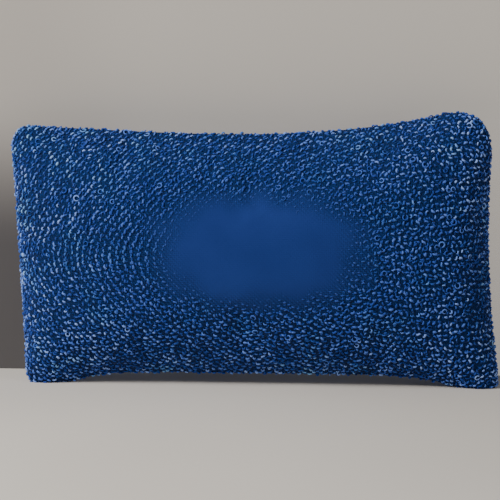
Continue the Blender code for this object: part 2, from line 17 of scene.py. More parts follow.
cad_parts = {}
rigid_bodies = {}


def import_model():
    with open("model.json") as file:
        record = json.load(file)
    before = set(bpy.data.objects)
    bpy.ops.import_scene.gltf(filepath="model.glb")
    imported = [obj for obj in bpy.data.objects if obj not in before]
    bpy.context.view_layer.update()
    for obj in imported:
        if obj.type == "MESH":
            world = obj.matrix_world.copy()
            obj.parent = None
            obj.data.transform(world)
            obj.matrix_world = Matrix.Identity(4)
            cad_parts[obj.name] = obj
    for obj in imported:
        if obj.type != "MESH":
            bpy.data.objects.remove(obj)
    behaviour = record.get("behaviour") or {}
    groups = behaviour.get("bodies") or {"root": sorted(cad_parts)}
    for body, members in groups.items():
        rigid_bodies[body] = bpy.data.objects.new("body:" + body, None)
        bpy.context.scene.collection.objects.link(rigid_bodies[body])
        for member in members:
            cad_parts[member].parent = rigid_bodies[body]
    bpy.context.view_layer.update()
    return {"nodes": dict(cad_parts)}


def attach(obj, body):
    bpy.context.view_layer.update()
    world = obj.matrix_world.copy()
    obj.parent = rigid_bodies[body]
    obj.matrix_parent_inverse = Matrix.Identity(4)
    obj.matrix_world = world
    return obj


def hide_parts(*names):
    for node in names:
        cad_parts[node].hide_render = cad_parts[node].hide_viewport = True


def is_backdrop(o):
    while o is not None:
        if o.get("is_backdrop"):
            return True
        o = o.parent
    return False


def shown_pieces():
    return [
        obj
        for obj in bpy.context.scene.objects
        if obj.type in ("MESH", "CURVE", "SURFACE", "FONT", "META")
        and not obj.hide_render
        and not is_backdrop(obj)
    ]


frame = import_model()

# %% [markdown]
# ## Camera
# A cushion is best seen almost from the front and a little from above. A long lens from two
# metres away keeps its edges parallel. A camera could be turned with angles; aiming it with
# to_track_quat says the same thing more plainly: look from here to there.

# %% Camera
VIEW_TURN = radians(5)  # round to the right of straight ahead
VIEW_RISE = radians(6)  # above the horizon
VIEW_DISTANCE = 2.2
VIEW_WIDTH = 0.510  # of what the picture takes in at that distance
AIM = Vector((-0.004, 0.0, 0.1385))
SENSOR = 36.0  # millimetres

camera = bpy.data.objects.new("camera", bpy.data.cameras.new("camera"))
camera.data.sensor_width = SENSOR
camera.data.lens = SENSOR * VIEW_DISTANCE / VIEW_WIDTH
backwards = Vector(
    (sin(VIEW_TURN) * cos(VIEW_RISE), -cos(VIEW_TURN) * cos(VIEW_RISE), sin(VIEW_RISE))
)
camera.location = AIM + backwards * VIEW_DISTANCE
camera.rotation_euler = (-backwards).to_track_quat("-Z", "Y").to_euler()
bpy.context.scene.collection.objects.link(camera)
bpy.context.scene.camera = camera
print("lens:", round(camera.data.lens), "mm")

# %% [markdown]
# ## A pen for node trees
# Shaders and Geometry Nodes are both drawn as nodes and wires. Adding each node by hand takes
# four lines, so this small helper places a node, sets it up and wires its inputs in one call.
# An input is either a plain value or another node's socket.

# %% Node helper
def find_socket(sockets, key):
    if isinstance(key, int):
        return sockets[key]
    return next(s for s in sockets if s.name == key and s.enabled)


class Pen:
    """Places nodes in one tree and wires them up."""

    def __init__(self, tree):
        self.tree = tree

    def add(self, kind, inputs=(), out=None, **settings):
        """A new node, or its output called out. inputs pairs each input with a value or
        a socket."""
        node = self.tree.nodes.new(kind)
        for key, value in settings.items():
            setattr(node, key, value)
        for key, value in dict(inputs).items():
            into = find_socket(node.inputs, key)
            if isinstance(value, bpy.types.NodeSocket):
                self.tree.links.new(value, into)
            else:
                into.default_value = value
        return node if out is None else find_socket(node.outputs, out)

    def maths(self, operation, first, second=0.0):
        """One sum, such as MULTIPLY or SINE, on one or two values."""
        return self.add("ShaderNodeMath", {0: first, 1: second}, out=0, operation=operation)

    def times(self, first, second):
        return self.maths("MULTIPLY", first, second)

    def plus(self, first, second):
        return self.maths("ADD", first, second)

    def remap(self, value, low, high, start=0.0, end=1.0, **settings):
        """Stretches the range from start to end over the range from low to high."""
        inputs = {"Value": value, "From Min": start, "From Max": end, "To Min": low, "To Max": high}
        return self.add("ShaderNodeMapRange", inputs, out=0, **settings)

    def link(self, start, end):
        self.tree.links.new(start, end)


def new_tree(name, kind, inputs, outputs):
    """An empty node group and its two ends. inputs and outputs pair a name with a socket
    type, and with a default value where there is one."""
    tree = bpy.data.node_groups.new(name, kind)
    for way, sockets in (("INPUT", inputs), ("OUTPUT", outputs)):
        for label, (socket_type, *default) in sockets.items():
            made = tree.interface.new_socket(label, in_out=way, socket_type=socket_type)
            if default:
                made.default_value = default[0]
    start = tree.nodes.new("NodeGroupInput")
    end = tree.nodes.new("NodeGroupOutput")
    return Pen(tree), start.outputs, end.inputs


SCALAR, WHOLE, VECTOR = "NodeSocketFloat", "NodeSocketInt", "NodeSocketVector"
SHAPE, THING, FINISH = "NodeSocketGeometry", "NodeSocketObject", "NodeSocketMaterial"

# %% [markdown]
# ## Effects that several finishes share
# Yarn, tape, casing and metal all need small irregular marks. A shader group holds such an
# effect once, with its sizes as named inputs, and each material plugs it in with its own
# values. The group gives out only heights and masks; the shader stays in the material.

# %% Yarn fuzz
def yarn_fuzz():
    """Short fibres standing out of a yarn, and slow patches of lighter and darker dye."""
    pen, given, result = new_tree(
        "yarn_fuzz",
        "ShaderNodeTree",
        {"Vector": (VECTOR,), "Fibre Size": (SCALAR, 0.0006), "Patch Size": (SCALAR, 0.05)},
        {"Fibres": (SCALAR,), "Patches": (SCALAR,)},
    )
    fine = pen.maths("DIVIDE", 1.0, given["Fibre Size"])
    slow = pen.maths("DIVIDE", 1.0, given["Patch Size"])
    for scale, detail, output in ((fine, 3.0, "Fibres"), (slow, 2.0, "Patches")):
        inputs = {"Vector": given["Vector"], "Scale": scale, "Detail": detail}
        pen.link(pen.add("ShaderNodeTexNoise", inputs, out=0), result[output])
    return pen.tree


# %% Woven threads
def woven_threads():
    """A plain weave: each thread is a ridge, and warp and weft take turns on top."""
    pen, given, result = new_tree(
        "woven_threads",
        "ShaderNodeTree",
        {"Vector": (VECTOR,), "Thread Size": (SCALAR, 0.0005)},
        {"Height": (SCALAR,), "Warp On Top": (SCALAR,)},
    )
    parts = pen.add("ShaderNodeSeparateXYZ", {"Vector": given["Vector"]})
    turns = pen.maths("DIVIDE", pi, given["Thread Size"])
    ridges, steps = [], []
    for i in (0, 2):
        along = parts.outputs[i]
        ridges.append(pen.maths("ABSOLUTE", pen.maths("SINE", pen.times(along, turns))))
        steps.append(pen.maths("FLOOR", pen.maths("DIVIDE", along, given["Thread Size"])))
    turn = pen.maths("PINGPONG", pen.plus(*steps), 1.0)
    other = pen.maths("SUBTRACT", 1.0, turn)
    pen.link(pen.plus(pen.times(ridges[0], turn), pen.times(ridges[1], other)), result["Height"])
    pen.link(turn, result["Warp On Top"])
    return pen.tree


# %% Handling marks on metal
def handling_marks():
    """Fine scratches and duller fingered patches on plated metal."""
    pen, given, result = new_tree(
        "handling_marks",
        "ShaderNodeTree",
        {"Vector": (VECTOR,), "Scratch Size": (SCALAR, 0.0004)},
        {"Scratches": (SCALAR,), "Roughness": (SCALAR,), "Tarnish": (SCALAR,)},
    )
    fine = pen.maths("DIVIDE", 1.0, given["Scratch Size"])
    long_way = pen.add(
        "ShaderNodeMapping", {"Vector": given["Vector"], "Scale": (0.12, 1.0, 1.0)}, out=0
    )
    inputs = {"Vector": long_way, "Scale": fine, "Detail": 4.0}
    scratches = pen.add("ShaderNodeTexNoise", inputs, out=0)
    inputs = {"Vector": given["Vector"], "Scale": 260.0, "Detail": 3.0}
    patches = pen.add("ShaderNodeTexNoise", inputs, out=0)
    pen.link(scratches, result["Scratches"])
    pen.link(pen.remap(patches, 0.18, 0.46), result["Roughness"])
    pen.link(patches, result["Tarnish"])
    return pen.tree


EFFECTS = {make.__name__: make() for make in (yarn_fuzz, woven_threads, handling_marks)}
print("shared effects:", ", ".join(EFFECTS))

# %% [markdown]
# ## Starting a finish
# Every finish begins alike: a Principled shader whose even qualities are plain numbers on its
# own sockets, and a pen to draw what changes over the surface. Object coordinates are metres
# here, because each piece sits at the origin, so a pattern keeps its real size.

# %% Start a material
def start_finish(name, **sockets):
    made = bpy.data.materials.new(name)
    made.use_nodes = True
    shader = made.node_tree.nodes["Principled BSDF"]
    for label, value in sockets.items():
        shader.inputs[label.replace("_", " ")].default_value = value
    pen = Pen(made.node_tree)
    place = pen.add("ShaderNodeTexCoord", out="Object")
    return made, pen, shader.inputs, place


def effect(pen, name, **inputs):
    """One of the shared effects, placed in a material."""
    named = {label.replace("_", " "): value for label, value in inputs.items()}
    return pen.add("ShaderNodeGroup", named, node_tree=EFFECTS[name]).outputs


def painted(pen, name):
    """A number that each point of the piece carries."""
    return pen.add("ShaderNodeAttribute", attribute_name=name, out="Fac")


def ramp(pen, value, *stops):
    """A colour for each stretch of a value. A stop is its place and its colour."""
    node = pen.add("ShaderNodeValToRGB", {0: value})
    elements = node.color_ramp.elements
    while len(elements) < len(stops):
        elements.new(1.0)
    for element, (place, colour) in zip(elements, stops):
        element.position = place
        element.color = (*colour, 1.0)
    return node.outputs[0]


def blended(pen, share, first, second, how="MIX"):
    """Two colours mixed by a share from 0 to 1."""
    first, second = ((*c, 1.0) if isinstance(c, tuple) else c for c in (first, second))
    inputs = {0: share, 6: first, 7: second}
    return pen.add("ShaderNodeMix", inputs, data_type="RGBA", blend_type=how).outputs[2]


def relief(pen, height, depth, under=None):
    """A bump of a real depth in metres, on top of another where there is one."""
    inputs = {"Height": height, "Distance": depth, "Strength": 1.0}
    if under is not None:
        inputs["Normal"] = under
    return pen.add("ShaderNodeBump", inputs, out=0)


# %% [markdown]
# ## The boucle
# Boucle has a tight dark ground and a second, curly yarn that stands out of it in loops. The
# ground gets a small knitted relief. Each loop carries its own shade in an attribute named
# tint, so one material colours them all, from deep navy to light blue. Brushed smooth in the
# middle of the front, the pile lies flat there: an attribute named pile says where.

# %% Boucle finishes
# The ground's two colours are partly its own navy and partly painted shade for the hollows under
# the loops.
SHADED_GROUND_DARK = (0.0008, 0.0085, 0.045)
SHADED_GROUND_LIGHT = (0.0025, 0.0270, 0.135)
BRUSHED_DARK = (0.0095, 0.0255, 0.140)
BRUSHED_LIGHT = (0.0120, 0.0310, 0.162)


def brushed_colour(pen, fuzz):
    return ramp(pen, fuzz["Patches"], (0.3, BRUSHED_DARK), (0.7, BRUSHED_LIGHT))


def boucle_ground():
    made, pen, shader, place = start_finish(
        "boucle_ground", Roughness=0.95, Specular_IOR_Level=0.15, Sheen_Weight=0.03
    )
    fuzz = effect(pen, "yarn_fuzz", Vector=place, Fibre_Size=0.0016, Patch_Size=0.055)
    knit = effect(pen, "woven_threads", Vector=place, Thread_Size=0.0021)
    pile = painted(pen, "pile")
    # the ground's colour, with painted shade of the hollows under the loops
    dark = ramp(pen, fuzz["Fibres"], (0.35, SHADED_GROUND_DARK), (0.68, SHADED_GROUND_LIGHT))
    pen.link(blended(pen, pile, brushed_colour(pen, fuzz), dark), shader["Base Color"])
    rough = pen.plus(pen.times(pile, 0.85), 0.15)
    depth = pen.times(rough, pen.plus(knit["Height"], fuzz["Fibres"]))
    pen.link(relief(pen, depth, 0.0007), shader["Normal"])
    return made


def boucle_yarn():
    made, pen, shader, place = start_finish(
        "boucle_yarn", Roughness=0.85, Specular_IOR_Level=0.20, Sheen_Weight=0.08
    )
    fuzz = effect(pen, "yarn_fuzz", Vector=place, Fibre_Size=0.0005, Patch_Size=0.035)
    colour = ramp(
        pen,
        painted(pen, "tint"),
        (0.0, (0.0026, 0.0165, 0.104)),
        (0.40, (0.0150, 0.0575, 0.325)),
        (0.72, (0.0850, 0.1870, 0.615)),
        (1.0, (0.2800, 0.4300, 0.860)),
    )
    teal = blended(pen, 1.0, colour, (0.78, 1.06, 0.92), "MULTIPLY")
    patch = pen.remap(fuzz["Patches"], 0.0, 1.0, 0.52, 0.66)
    pile = painted(pen, "pile")
    dyed = blended(pen, patch, colour, teal)
    pen.link(blended(pen, pile, brushed_colour(pen, fuzz), dyed), shader["Base Color"])
    pen.link(relief(pen, fuzz["Fibres"], 0.0003), shader["Normal"])
    return made


GROUND_FINISH, YARN_FINISH = boucle_ground(), boucle_yarn()

# %% [markdown]
# ## Thread, tape, nylon, metal and the white insert
# The thread is a twist of plies, so slanting ridges run round it. The tapes are a tight weave.
# The zip's coil is satin nylon, and its slider is nickel plate that fingers have dulled. The
# casing is a spun cloth pressed with small dimples, and the fill is a mass of white fibres.

# %% Other finishes
def sewing_thread():
    made, pen, shader, place = start_finish("navy_thread", Roughness=0.6, Sheen_Weight=0.2)
    plies = pen.add(
        "ShaderNodeTexWave",
        {"Vector": place, "Scale": 420.0, "Distortion": 1.5},
        out="Fac",
        bands_direction="DIAGONAL",
    )
    colour = ramp(pen, plies, (0.1, (0.004, 0.018, 0.062)), (0.9, (0.018, 0.065, 0.190)))
    pen.link(colour, shader["Base Color"])
    pen.link(relief(pen, plies, 0.00012), shader["Normal"])
    return made


def zip_tape_cloth():
    made, pen, shader, place = start_finish("zip_tape_cloth", Roughness=0.78, Sheen_Weight=0.15)
    weave = effect(pen, "woven_threads", Vector=place, Thread_Size=0.00055)
    fuzz = effect(pen, "yarn_fuzz", Vector=place, Fibre_Size=0.0009, Patch_Size=0.02)
    plain = ramp(pen, weave["Warp On Top"], (0.2, (0.009, 0.036, 0.115)),
                 (0.8, (0.014, 0.055, 0.165)))
    worn = blended(pen, fuzz["Patches"], plain, (0.022, 0.072, 0.200))
    pen.link(worn, shader["Base Color"])
    pen.link(relief(pen, weave["Height"], 0.00012), shader["Normal"])
    return made


def zip_coil_nylon():
    made, pen, shader, place = start_finish("zip_coil_nylon", Roughness=0.4, IOR=1.53)
    fuzz = effect(pen, "yarn_fuzz", Vector=place, Fibre_Size=0.0004, Patch_Size=0.015)
    colour = ramp(pen, fuzz["Patches"], (0.3, (0.009, 0.034, 0.105)), (0.7, (0.015, 0.050, 0.150)))
    pen.link(colour, shader["Base Color"])
    pen.link(pen.remap(fuzz["Fibres"], 0.32, 0.52), shader["Roughness"])
    pen.link(relief(pen, fuzz["Fibres"], 0.00003), shader["Normal"])
    return made


def nickel_plate():
    made, pen, shader, place = start_finish("nickel_plate", Metallic=1.0)
    marks = effect(pen, "handling_marks", Vector=place, Scratch_Size=0.0004)
    colour = ramp(pen, marks["Tarnish"], (0.3, (0.62, 0.615, 0.60)), (0.7, (0.78, 0.775, 0.765)))
    pen.link(colour, shader["Base Color"])
    pen.link(marks["Roughness"], shader["Roughness"])
    pen.link(relief(pen, marks["Scratches"], 0.00002), shader["Normal"])
    return made


def spun_casing():
    made, pen, shader, place = start_finish("white_spun_casing", Roughness=0.88)
    weave = effect(pen, "woven_threads", Vector=place, Thread_Size=0.0011)
    fuzz = effect(pen, "yarn_fuzz", Vector=place, Fibre_Size=0.0008, Patch_Size=0.03)
    colour = ramp(pen, fuzz["Fibres"], (0.3, (0.70, 0.69, 0.66)), (0.7, (0.82, 0.81, 0.79)))
    pen.link(colour, shader["Base Color"])
    pen.link(relief(pen, weave["Height"], 0.0002), shader["Normal"])
    return made


def fibre_mass():
    made, pen, shader, place = start_finish("white_fibre_mass", Roughness=0.95, Sheen_Weight=0.4)
    fuzz = effect(pen, "yarn_fuzz", Vector=place, Fibre_Size=0.0020, Patch_Size=0.025)
    colour = ramp(pen, fuzz["Patches"], (0.3, (0.74, 0.73, 0.71)), (0.7, (0.88, 0.875, 0.86)))
    pen.link(colour, shader["Base Color"])
    pen.link(relief(pen, fuzz["Fibres"], 0.0015), shader["Normal"])
    return made


THREAD_FINISH, TAPE_FINISH, NYLON_FINISH = sewing_thread(), zip_tape_cloth(), zip_coil_nylon()
METAL_FINISH, CASING_FINISH, FIBRE_FINISH = nickel_plate(), spun_casing(), fibre_mass()
print("finishes:", len(bpy.data.materials))

# %% [markdown]
# ## The outline of the stuffed cover
# Seen from the front, a stuffed rectangle is no rectangle: its sides pull in, its corners stay
# out as ears, and the fill has settled towards one end. The CAD source draws the outline as
# four edges between the middles of the rounded corners. The same rules are given again here,
# because the fine cloth below needs them at far more points than the CAD sheets have.

# %% Outline
WIDTH, THICKNESS = 0.501, 0.118
LEFT_HEIGHT, RIGHT_HEIGHT = 0.2645, 0.2865
TOP_DIP, TOP_LEAN, BOTTOM_ARCH, FLOOR_PRESS = 0.019, 0.009, 0.012, 0.018
LEFT_PULL, RIGHT_PULL = 0.001, 0.009
LOWER_LEFT_INSET, UPPER_RIGHT_INSET = 0.0145, 0.010
UPPER_LEFT_RADIUS, UPPER_RIGHT_RADIUS = 0.021, 0.050
LOWER_LEFT_RADIUS, LOWER_RIGHT_RADIUS = 0.032, 0.036
NO_LIFT = 1 - sqrt(0.5)  # how far a round corner's middle lies inside, per radius
HEIGHT = (LEFT_HEIGHT + RIGHT_HEIGHT) / 2

CORNER_LL = Vector((-WIDTH / 2 + LOWER_LEFT_INSET, -FLOOR_PRESS)) + Vector((1, 1)) * (
    NO_LIFT * LOWER_LEFT_RADIUS)
CORNER_LR = Vector((WIDTH / 2, -FLOOR_PRESS)) + Vector((-1, 1)) * NO_LIFT * LOWER_RIGHT_RADIUS
CORNER_UL = Vector((-WIDTH / 2, LEFT_HEIGHT)) + Vector((1, -1)) * NO_LIFT * UPPER_LEFT_RADIUS
CORNER_UR = Vector((WIDTH / 2 - UPPER_RIGHT_INSET, RIGHT_HEIGHT)) - Vector((1, 1)) * (
    NO_LIFT * UPPER_RIGHT_RADIUS)


def mix(start, end, share):
    return start + (end - start) * share


def fade(distance, full, width):
    """1 up to a distance, then falling smoothly to 0 over a width."""
    share = min(max((distance - full) / width, 0.0), 1.0)
    return 1 - share * share * (3 - 2 * share)


def corner_rise(distance, radius):
    along = NO_LIFT * radius + distance
    if along >= radius:
        return NO_LIFT * radius
    return NO_LIFT * radius - (radius - sqrt(radius**2 - (radius - along) ** 2))


def edge_point(start, end, radii, outward, pull, s):
    """A point of an edge, s from -1 to 1: the line between two corner middles, lifted to
    the full edge between the corners and then pulled in."""
    share, length = (s + 1) / 2, (end - start).length
    rises = corner_rise(share * length, radii[0]), corner_rise((1 - share) * length, radii[1])
    return start.lerp(end, share) + Vector(outward) * (mix(*rises, share) - pull)


@cache
def bottom_edge(u):
    pull = (FLOOR_PRESS + BOTTOM_ARCH) * (1 - u**6)
    radii = (LOWER_LEFT_RADIUS, LOWER_RIGHT_RADIUS)
    return edge_point(CORNER_LL, CORNER_LR, radii, (0, -1), pull, u)


@cache
def top_edge(u):
    pull = (1 - u * u) * (TOP_DIP + TOP_LEAN * u)
    radii = (UPPER_LEFT_RADIUS, UPPER_RIGHT_RADIUS)
    return edge_point(CORNER_UL, CORNER_UR, radii, (0, 1), pull, u)


@cache
def left_edge(v):
    pull = LEFT_PULL * (1 - v * v)
    radii = (LOWER_LEFT_RADIUS, UPPER_LEFT_RADIUS)
    return edge_point(CORNER_LL, CORNER_UL, radii, (-1, 0), pull, v)


@cache
def right_edge(v):
    pull = RIGHT_PULL * (1 - v * v)
    radii = (LOWER_RIGHT_RADIUS, UPPER_RIGHT_RADIUS)
    return edge_point(CORNER_LR, CORNER_UR, radii, (1, 0), pull, v)


def flat_point(u, v):
    """A point (x, z) inside the outline, u and v from -1 to 1."""
    across, up = (u + 1) / 2, (v + 1) / 2
    sides = left_edge(v).lerp(right_edge(v), across)
    ends = bottom_edge(u).lerp(top_edge(u), up)
    low, high = CORNER_LL.lerp(CORNER_LR, across), CORNER_UL.lerp(CORNER_UR, across)
    return sides + ends - low.lerp(high, up)


def solve(find, target):
    """The parameter from -1 to 1 at which a rising function reaches a value."""
    low, high = -1.0, 1.0
    for _ in range(30):
        middle = (low + high) / 2
        low, high = (middle, high) if find(middle) < target else (low, middle)
    return (low + high) / 2


steps = [i / 50 - 1 for i in range(101)]
CENTRE_X = (min(left_edge(s).x for s in steps) + max(right_edge(s).x for s in steps)) / 2
print("middle of the outline:", round(CENTRE_X * 1000, 2), "mm")

# %% [markdown]
# ## The crown, and the flat band that the zip holds
# The crown rises steeply from the seams and stays flat across the middle, as a well filled
# cushion does. On the back, the taut zip pulls a band of it into a plane.

# %% Crown and zip plane
CROWN_POWER, END_POWER, EDGE_POWER = 4.0, 0.48, 0.64
COVER_FABRIC, SEAM_HALF, GAP = 0.0024, 0.0006, 0.0003
SEAM_FOLD = 0.003
ZIP_HEIGHT, ZIP_LENGTH, ZIP_PULL_IN = 0.062, 0.300, 0.0035
TAPE_HALF, TAPE_TAIL, ZIP_MARGIN, ZIP_FADE = 0.0130, 0.012, 0.0030, 0.030
WINDOW_HALF, WINDOW_END, WINDOW_CLOSE = 0.0060, 0.006, 0.010
FLAT_HALF = TAPE_HALF + ZIP_MARGIN
FLAT_END = max(TAPE_TAIL + ZIP_MARGIN, WINDOW_END + WINDOW_CLOSE)
FRONT, BACK = -1, 1


def crown_depth(u, v):
    bulge = THICKNESS / 2 - SEAM_HALF - COVER_FABRIC
    along = max(1 - abs(u) ** CROWN_POWER, 0.0) ** END_POWER
    across = max(1 - v * v, 0.0) ** EDGE_POWER
    return SEAM_HALF + COVER_FABRIC + bulge * along * across


def zip_plane():
    v, step = solve(lambda v: flat_point(0, v).y, ZIP_HEIGHT), 0.01
    rise = flat_point(0, v + step).y - flat_point(0, v - step).y
    swell = crown_depth(0, v + step) - crown_depth(0, v - step)
    origin = Vector((0, crown_depth(0, v) - ZIP_PULL_IN, ZIP_HEIGHT))
    return origin, Vector((0, swell, rise)).normalized()


ZIP_ORIGIN, ZIP_UP = zip_plane()
ZIP_RIGHT = Vector((-1, 0, 0))
ZIP_OUT = ZIP_RIGHT.cross(ZIP_UP)
ZIP_TURN = Matrix((ZIP_RIGHT, ZIP_UP, ZIP_OUT)).transposed().to_4x4()
ZIP_PLACE = Matrix.Translation(ZIP_ORIGIN) @ ZIP_TURN


def zip_share(x, z):
    """How firmly the zip holds the back flat: 1 on it, 0 away from it."""
    above = abs(z - ZIP_ORIGIN.z) / ZIP_UP.z
    return fade(abs(x) - ZIP_LENGTH / 2, FLAT_END, ZIP_FADE) * fade(above, FLAT_HALF, ZIP_FADE)


def cover_point(u, v, side):
    """A point of the cover as the CAD model has it."""
    x, z = flat_point(u, v)
    x -= CENTRE_X
    depth = crown_depth(u, v)
    if side == BACK:
        plane = ZIP_ORIGIN.y + (z - ZIP_ORIGIN.z) * ZIP_UP.y / ZIP_UP.z
        depth = mix(depth, plane, zip_share(x, z))
    return Vector((x, side * depth, z))


print("zip plane at", [round(c, 5) for c in ZIP_ORIGIN], "leaning", [round(c, 3) for c in ZIP_UP])

# %% [markdown]
# ## Letting the cover settle over its fill
# A real cover isn't a formula: the fill pushes from inside and the cloth finds its own shape.
# The cloth solver can do that. A slightly deflated pillow is made from the same outline, its
# seam is pinned, and air pressure swells it for twenty frames. What matters is how far each
# point moved, so those moves are kept and the fine cloth borrows them.

# %% Cloth simulation
SIM_COLUMNS, SIM_ROWS = 78, 46
DEFLATED = 0.92  # depth of the pillow before it is blown up
CLOTH_SLACK = 0.010  # how much longer the cloth is than the deflated pillow
MOST_MOVE = 0.006
SIM_FRAMES = 20
CLOTH_RULES = {
    "quality": 6, "mass": 0.25, "tension_stiffness": 14, "compression_stiffness": 14,
    "shear_stiffness": 6, "bending_stiffness": 0.4, "tension_damping": 12,
    "compression_damping": 12, "shrink_min": -CLOTH_SLACK, "use_pressure": True,
    "uniform_pressure_force": 4.0, "vertex_group_mass": "seam", "pin_stiffness": 20,
}


def new_mesh(name, points, faces, edges=()):
    mesh = bpy.data.meshes.new(name)
    mesh.from_pydata(points, edges, faces)
    return mesh


def discard(helper):
    """Removes a helper object together with its mesh."""
    mesh = helper.data
    bpy.data.objects.remove(helper)
    bpy.data.meshes.remove(mesh)


def spread(count, crowding=0.55):
    """Values from -1 to 1 that crowd towards both ends."""
    even = [2 * i / (count - 1) - 1 for i in range(count)]
    return [mix(t, sin(pi / 2 * t), crowding) for t in even]


SIM_U, SIM_V = spread(SIM_COLUMNS), spread(SIM_ROWS)


def on_seam(r, c):
    return r in (0, SIM_ROWS - 1) or c in (0, SIM_COLUMNS - 1)


def deflated_pillow():
    """A closed pillow whose front and back share the points of the seam."""
    points, faces, index = [], [], {}
    for side in (FRONT, BACK):
        for r, v in enumerate(SIM_V):
            for c, u in enumerate(SIM_U):
                if on_seam(r, c) and side == BACK:
                    index[side, r, c] = index[FRONT, r, c]
                    continue
                point = cover_point(u, v, side)
                point.y *= 0.0 if on_seam(r, c) else DEFLATED
                index[side, r, c] = len(points)
                points.append(point)
        for r in range(SIM_ROWS - 1):
            for c in range(SIM_COLUMNS - 1):
                corners = [index[side, r + a, c + b] for a, b in ((0, 0), (0, 1), (1, 1), (1, 0))]
                faces.append(corners[::-1] if side == BACK else corners)
    return bpy.data.objects.new("pillow", new_mesh("pillow", points, faces)), index


def settled_moves():
    """How far the solver moved each grid point away from the CAD surface."""
    pillow, index = deflated_pillow()
    bpy.context.scene.collection.objects.link(pillow)
    seam = pillow.vertex_groups.new(name="seam")
    pinned = {i for (_, r, c), i in index.items() if on_seam(r, c)}
    seam.add(sorted(pinned), 1.0, "REPLACE")
    cloth = pillow.modifiers.new("cloth", "CLOTH")
    rules = cloth.settings
    for rule, value in CLOTH_RULES.items():
        setattr(rules, rule, value)
    rules.effector_weights.gravity = 0.0
    cloth.collision_settings.use_collision = False
    for number in range(1, SIM_FRAMES + 1):
        bpy.context.scene.frame_set(number)
    settled = pillow.evaluated_get(bpy.context.evaluated_depsgraph_get()).data
    moves = {}
    for (side, r, c), i in index.items():
        if i in pinned:
            moves[side, r, c] = Vector()
            continue
        move = settled.vertices[i].co - cover_point(SIM_U[c], SIM_V[r], side)
        moves[side, r, c] = move * min(1.0, MOST_MOVE / max(move.length, 1e-9))
    bpy.context.scene.frame_set(1)
    discard(pillow)
    outward = [side * moves[side, r, c].y for side, r, c in moves]
    print(f"cloth settled by {min(outward) * 1000:.1f} to {max(outward) * 1000:.1f} mm")
    return moves


MOVES = settled_moves()


def grid_place(values, t):
    """The step of a rising list that holds a value, and how far along it lies."""
    low, high = 0, len(values) - 1
    while high - low > 1:
        middle = (low + high) // 2
        low, high = (middle, high) if values[middle] <= t else (low, middle)
    return low, (t - values[low]) / (values[high] - values[low])


def settled_move(u, v, side):
    if not MOVES:
        return Vector()
    (c, along), (r, up) = grid_place(SIM_U, u), grid_place(SIM_V, v)
    low = MOVES[side, r, c].lerp(MOVES[side, r, c + 1], along)
    return low.lerp(MOVES[side, r + 1, c].lerp(MOVES[side, r + 1, c + 1], along), up)


# %% [markdown]
# ## Puckers and lumps
# Two things are finer than the solver's mesh. Sewing gathers the cloth into small puckers that
# run straight away from the seam and die out within a finger's width. The fill is never quite
# even, so the crown has slow, shallow lumps. Smooth noise, stretched the right way, gives both.

# %% Puckers and lumps
PUCKER_DEPTH, PUCKER_PITCH, PUCKER_REACH = 0.0013, 0.011, 0.013
LUMP_DEPTH, LUMP_SIZE, LUMP_FREE = 0.0014, 0.075, 0.04  # full lumps begin LUMP_FREE from the seam


def cover_normal(u, v, side):
    step = 0.004
    left, right = max(u - step, -1), min(u + step, 1)
    low, high = max(v - step, -1), min(v + step, 1)
    along = cover_point(right, v, side) - cover_point(left, v, side)
    up = cover_point(u, high, side) - cover_point(u, low, side)
    return along.cross(up).normalized() * -side


def pucker(position, from_seam, side):
    """Height of the gathers beside one seam, which vary along it and fade away from it."""
    wave = noise.noise(Vector((position / PUCKER_PITCH, 4.7 * side, 0.0)))
    near = min(from_seam / SEAM_FOLD, 1.0)
    return PUCKER_DEPTH * wave * near * exp(-from_seam / PUCKER_REACH)


def settled_point(u, v, side):
    """A point of the finished cloth."""
    point = cover_point(u, v, side)
    if abs(u) == 1 or abs(v) == 1:
        return Vector((point.x, side * SEAM_HALF, max(point.z, 0.0)))
    loose = 1 - zip_share(point.x, point.z) if side == BACK else 1.0
    end_gap, edge_gap = (1 - abs(u)) * WIDTH / 2, (1 - abs(v)) * HEIGHT / 2
    swell = pucker(point.x, edge_gap, side) + pucker(point.z + 1.0, end_gap, side)
    lump = noise.noise(Vector((point.x, side * 0.2, point.z)) / LUMP_SIZE)
    swell += LUMP_DEPTH * lump * min(1.0, end_gap / LUMP_FREE) * min(1.0, edge_gap / LUMP_FREE)
    point += settled_move(u, v, side) * loose + cover_normal(u, v, side) * swell * loose
    return Vector((point.x, side * max(side * point.y, SEAM_HALF), max(point.z, 0.0)))


# %% [markdown]
# ## Panels with a real thickness
# A panel is two grids of points: the outside, and the inside one cloth's thickness under it.
# At a seam the cloth turns in as a lip. Beside the zip it is folded back, so its edge is round.
# Building the grid point by point keeps its rows and columns, which the lessons above rely on.

# %% Panel building
COVER_COLUMNS, COVER_ROWS, LOWER_ROWS = 172, 104, 34
SEAM_STEP_U, SEAM_STEP_V = 2 * SEAM_FOLD / WIDTH, 2 * SEAM_FOLD / HEIGHT


def seamed(values, step):
    """Inner values squeezed to leave one narrow step at each seam."""
    return [-1.0, *(t * (1 - step) for t in values), 1.0]


def sheet_normals(rows, side):
    last_row, last_column = len(rows) - 1, len(rows[0]) - 1
    return [
        [
            (row[min(c + 1, last_column)] - row[max(c - 1, 0)])
            .cross(rows[min(r + 1, last_row)][c] - rows[max(r - 1, 0)][c])
            .normalized() * -side
            for c in range(len(row))
        ]
        for r, row in enumerate(rows)
    ]


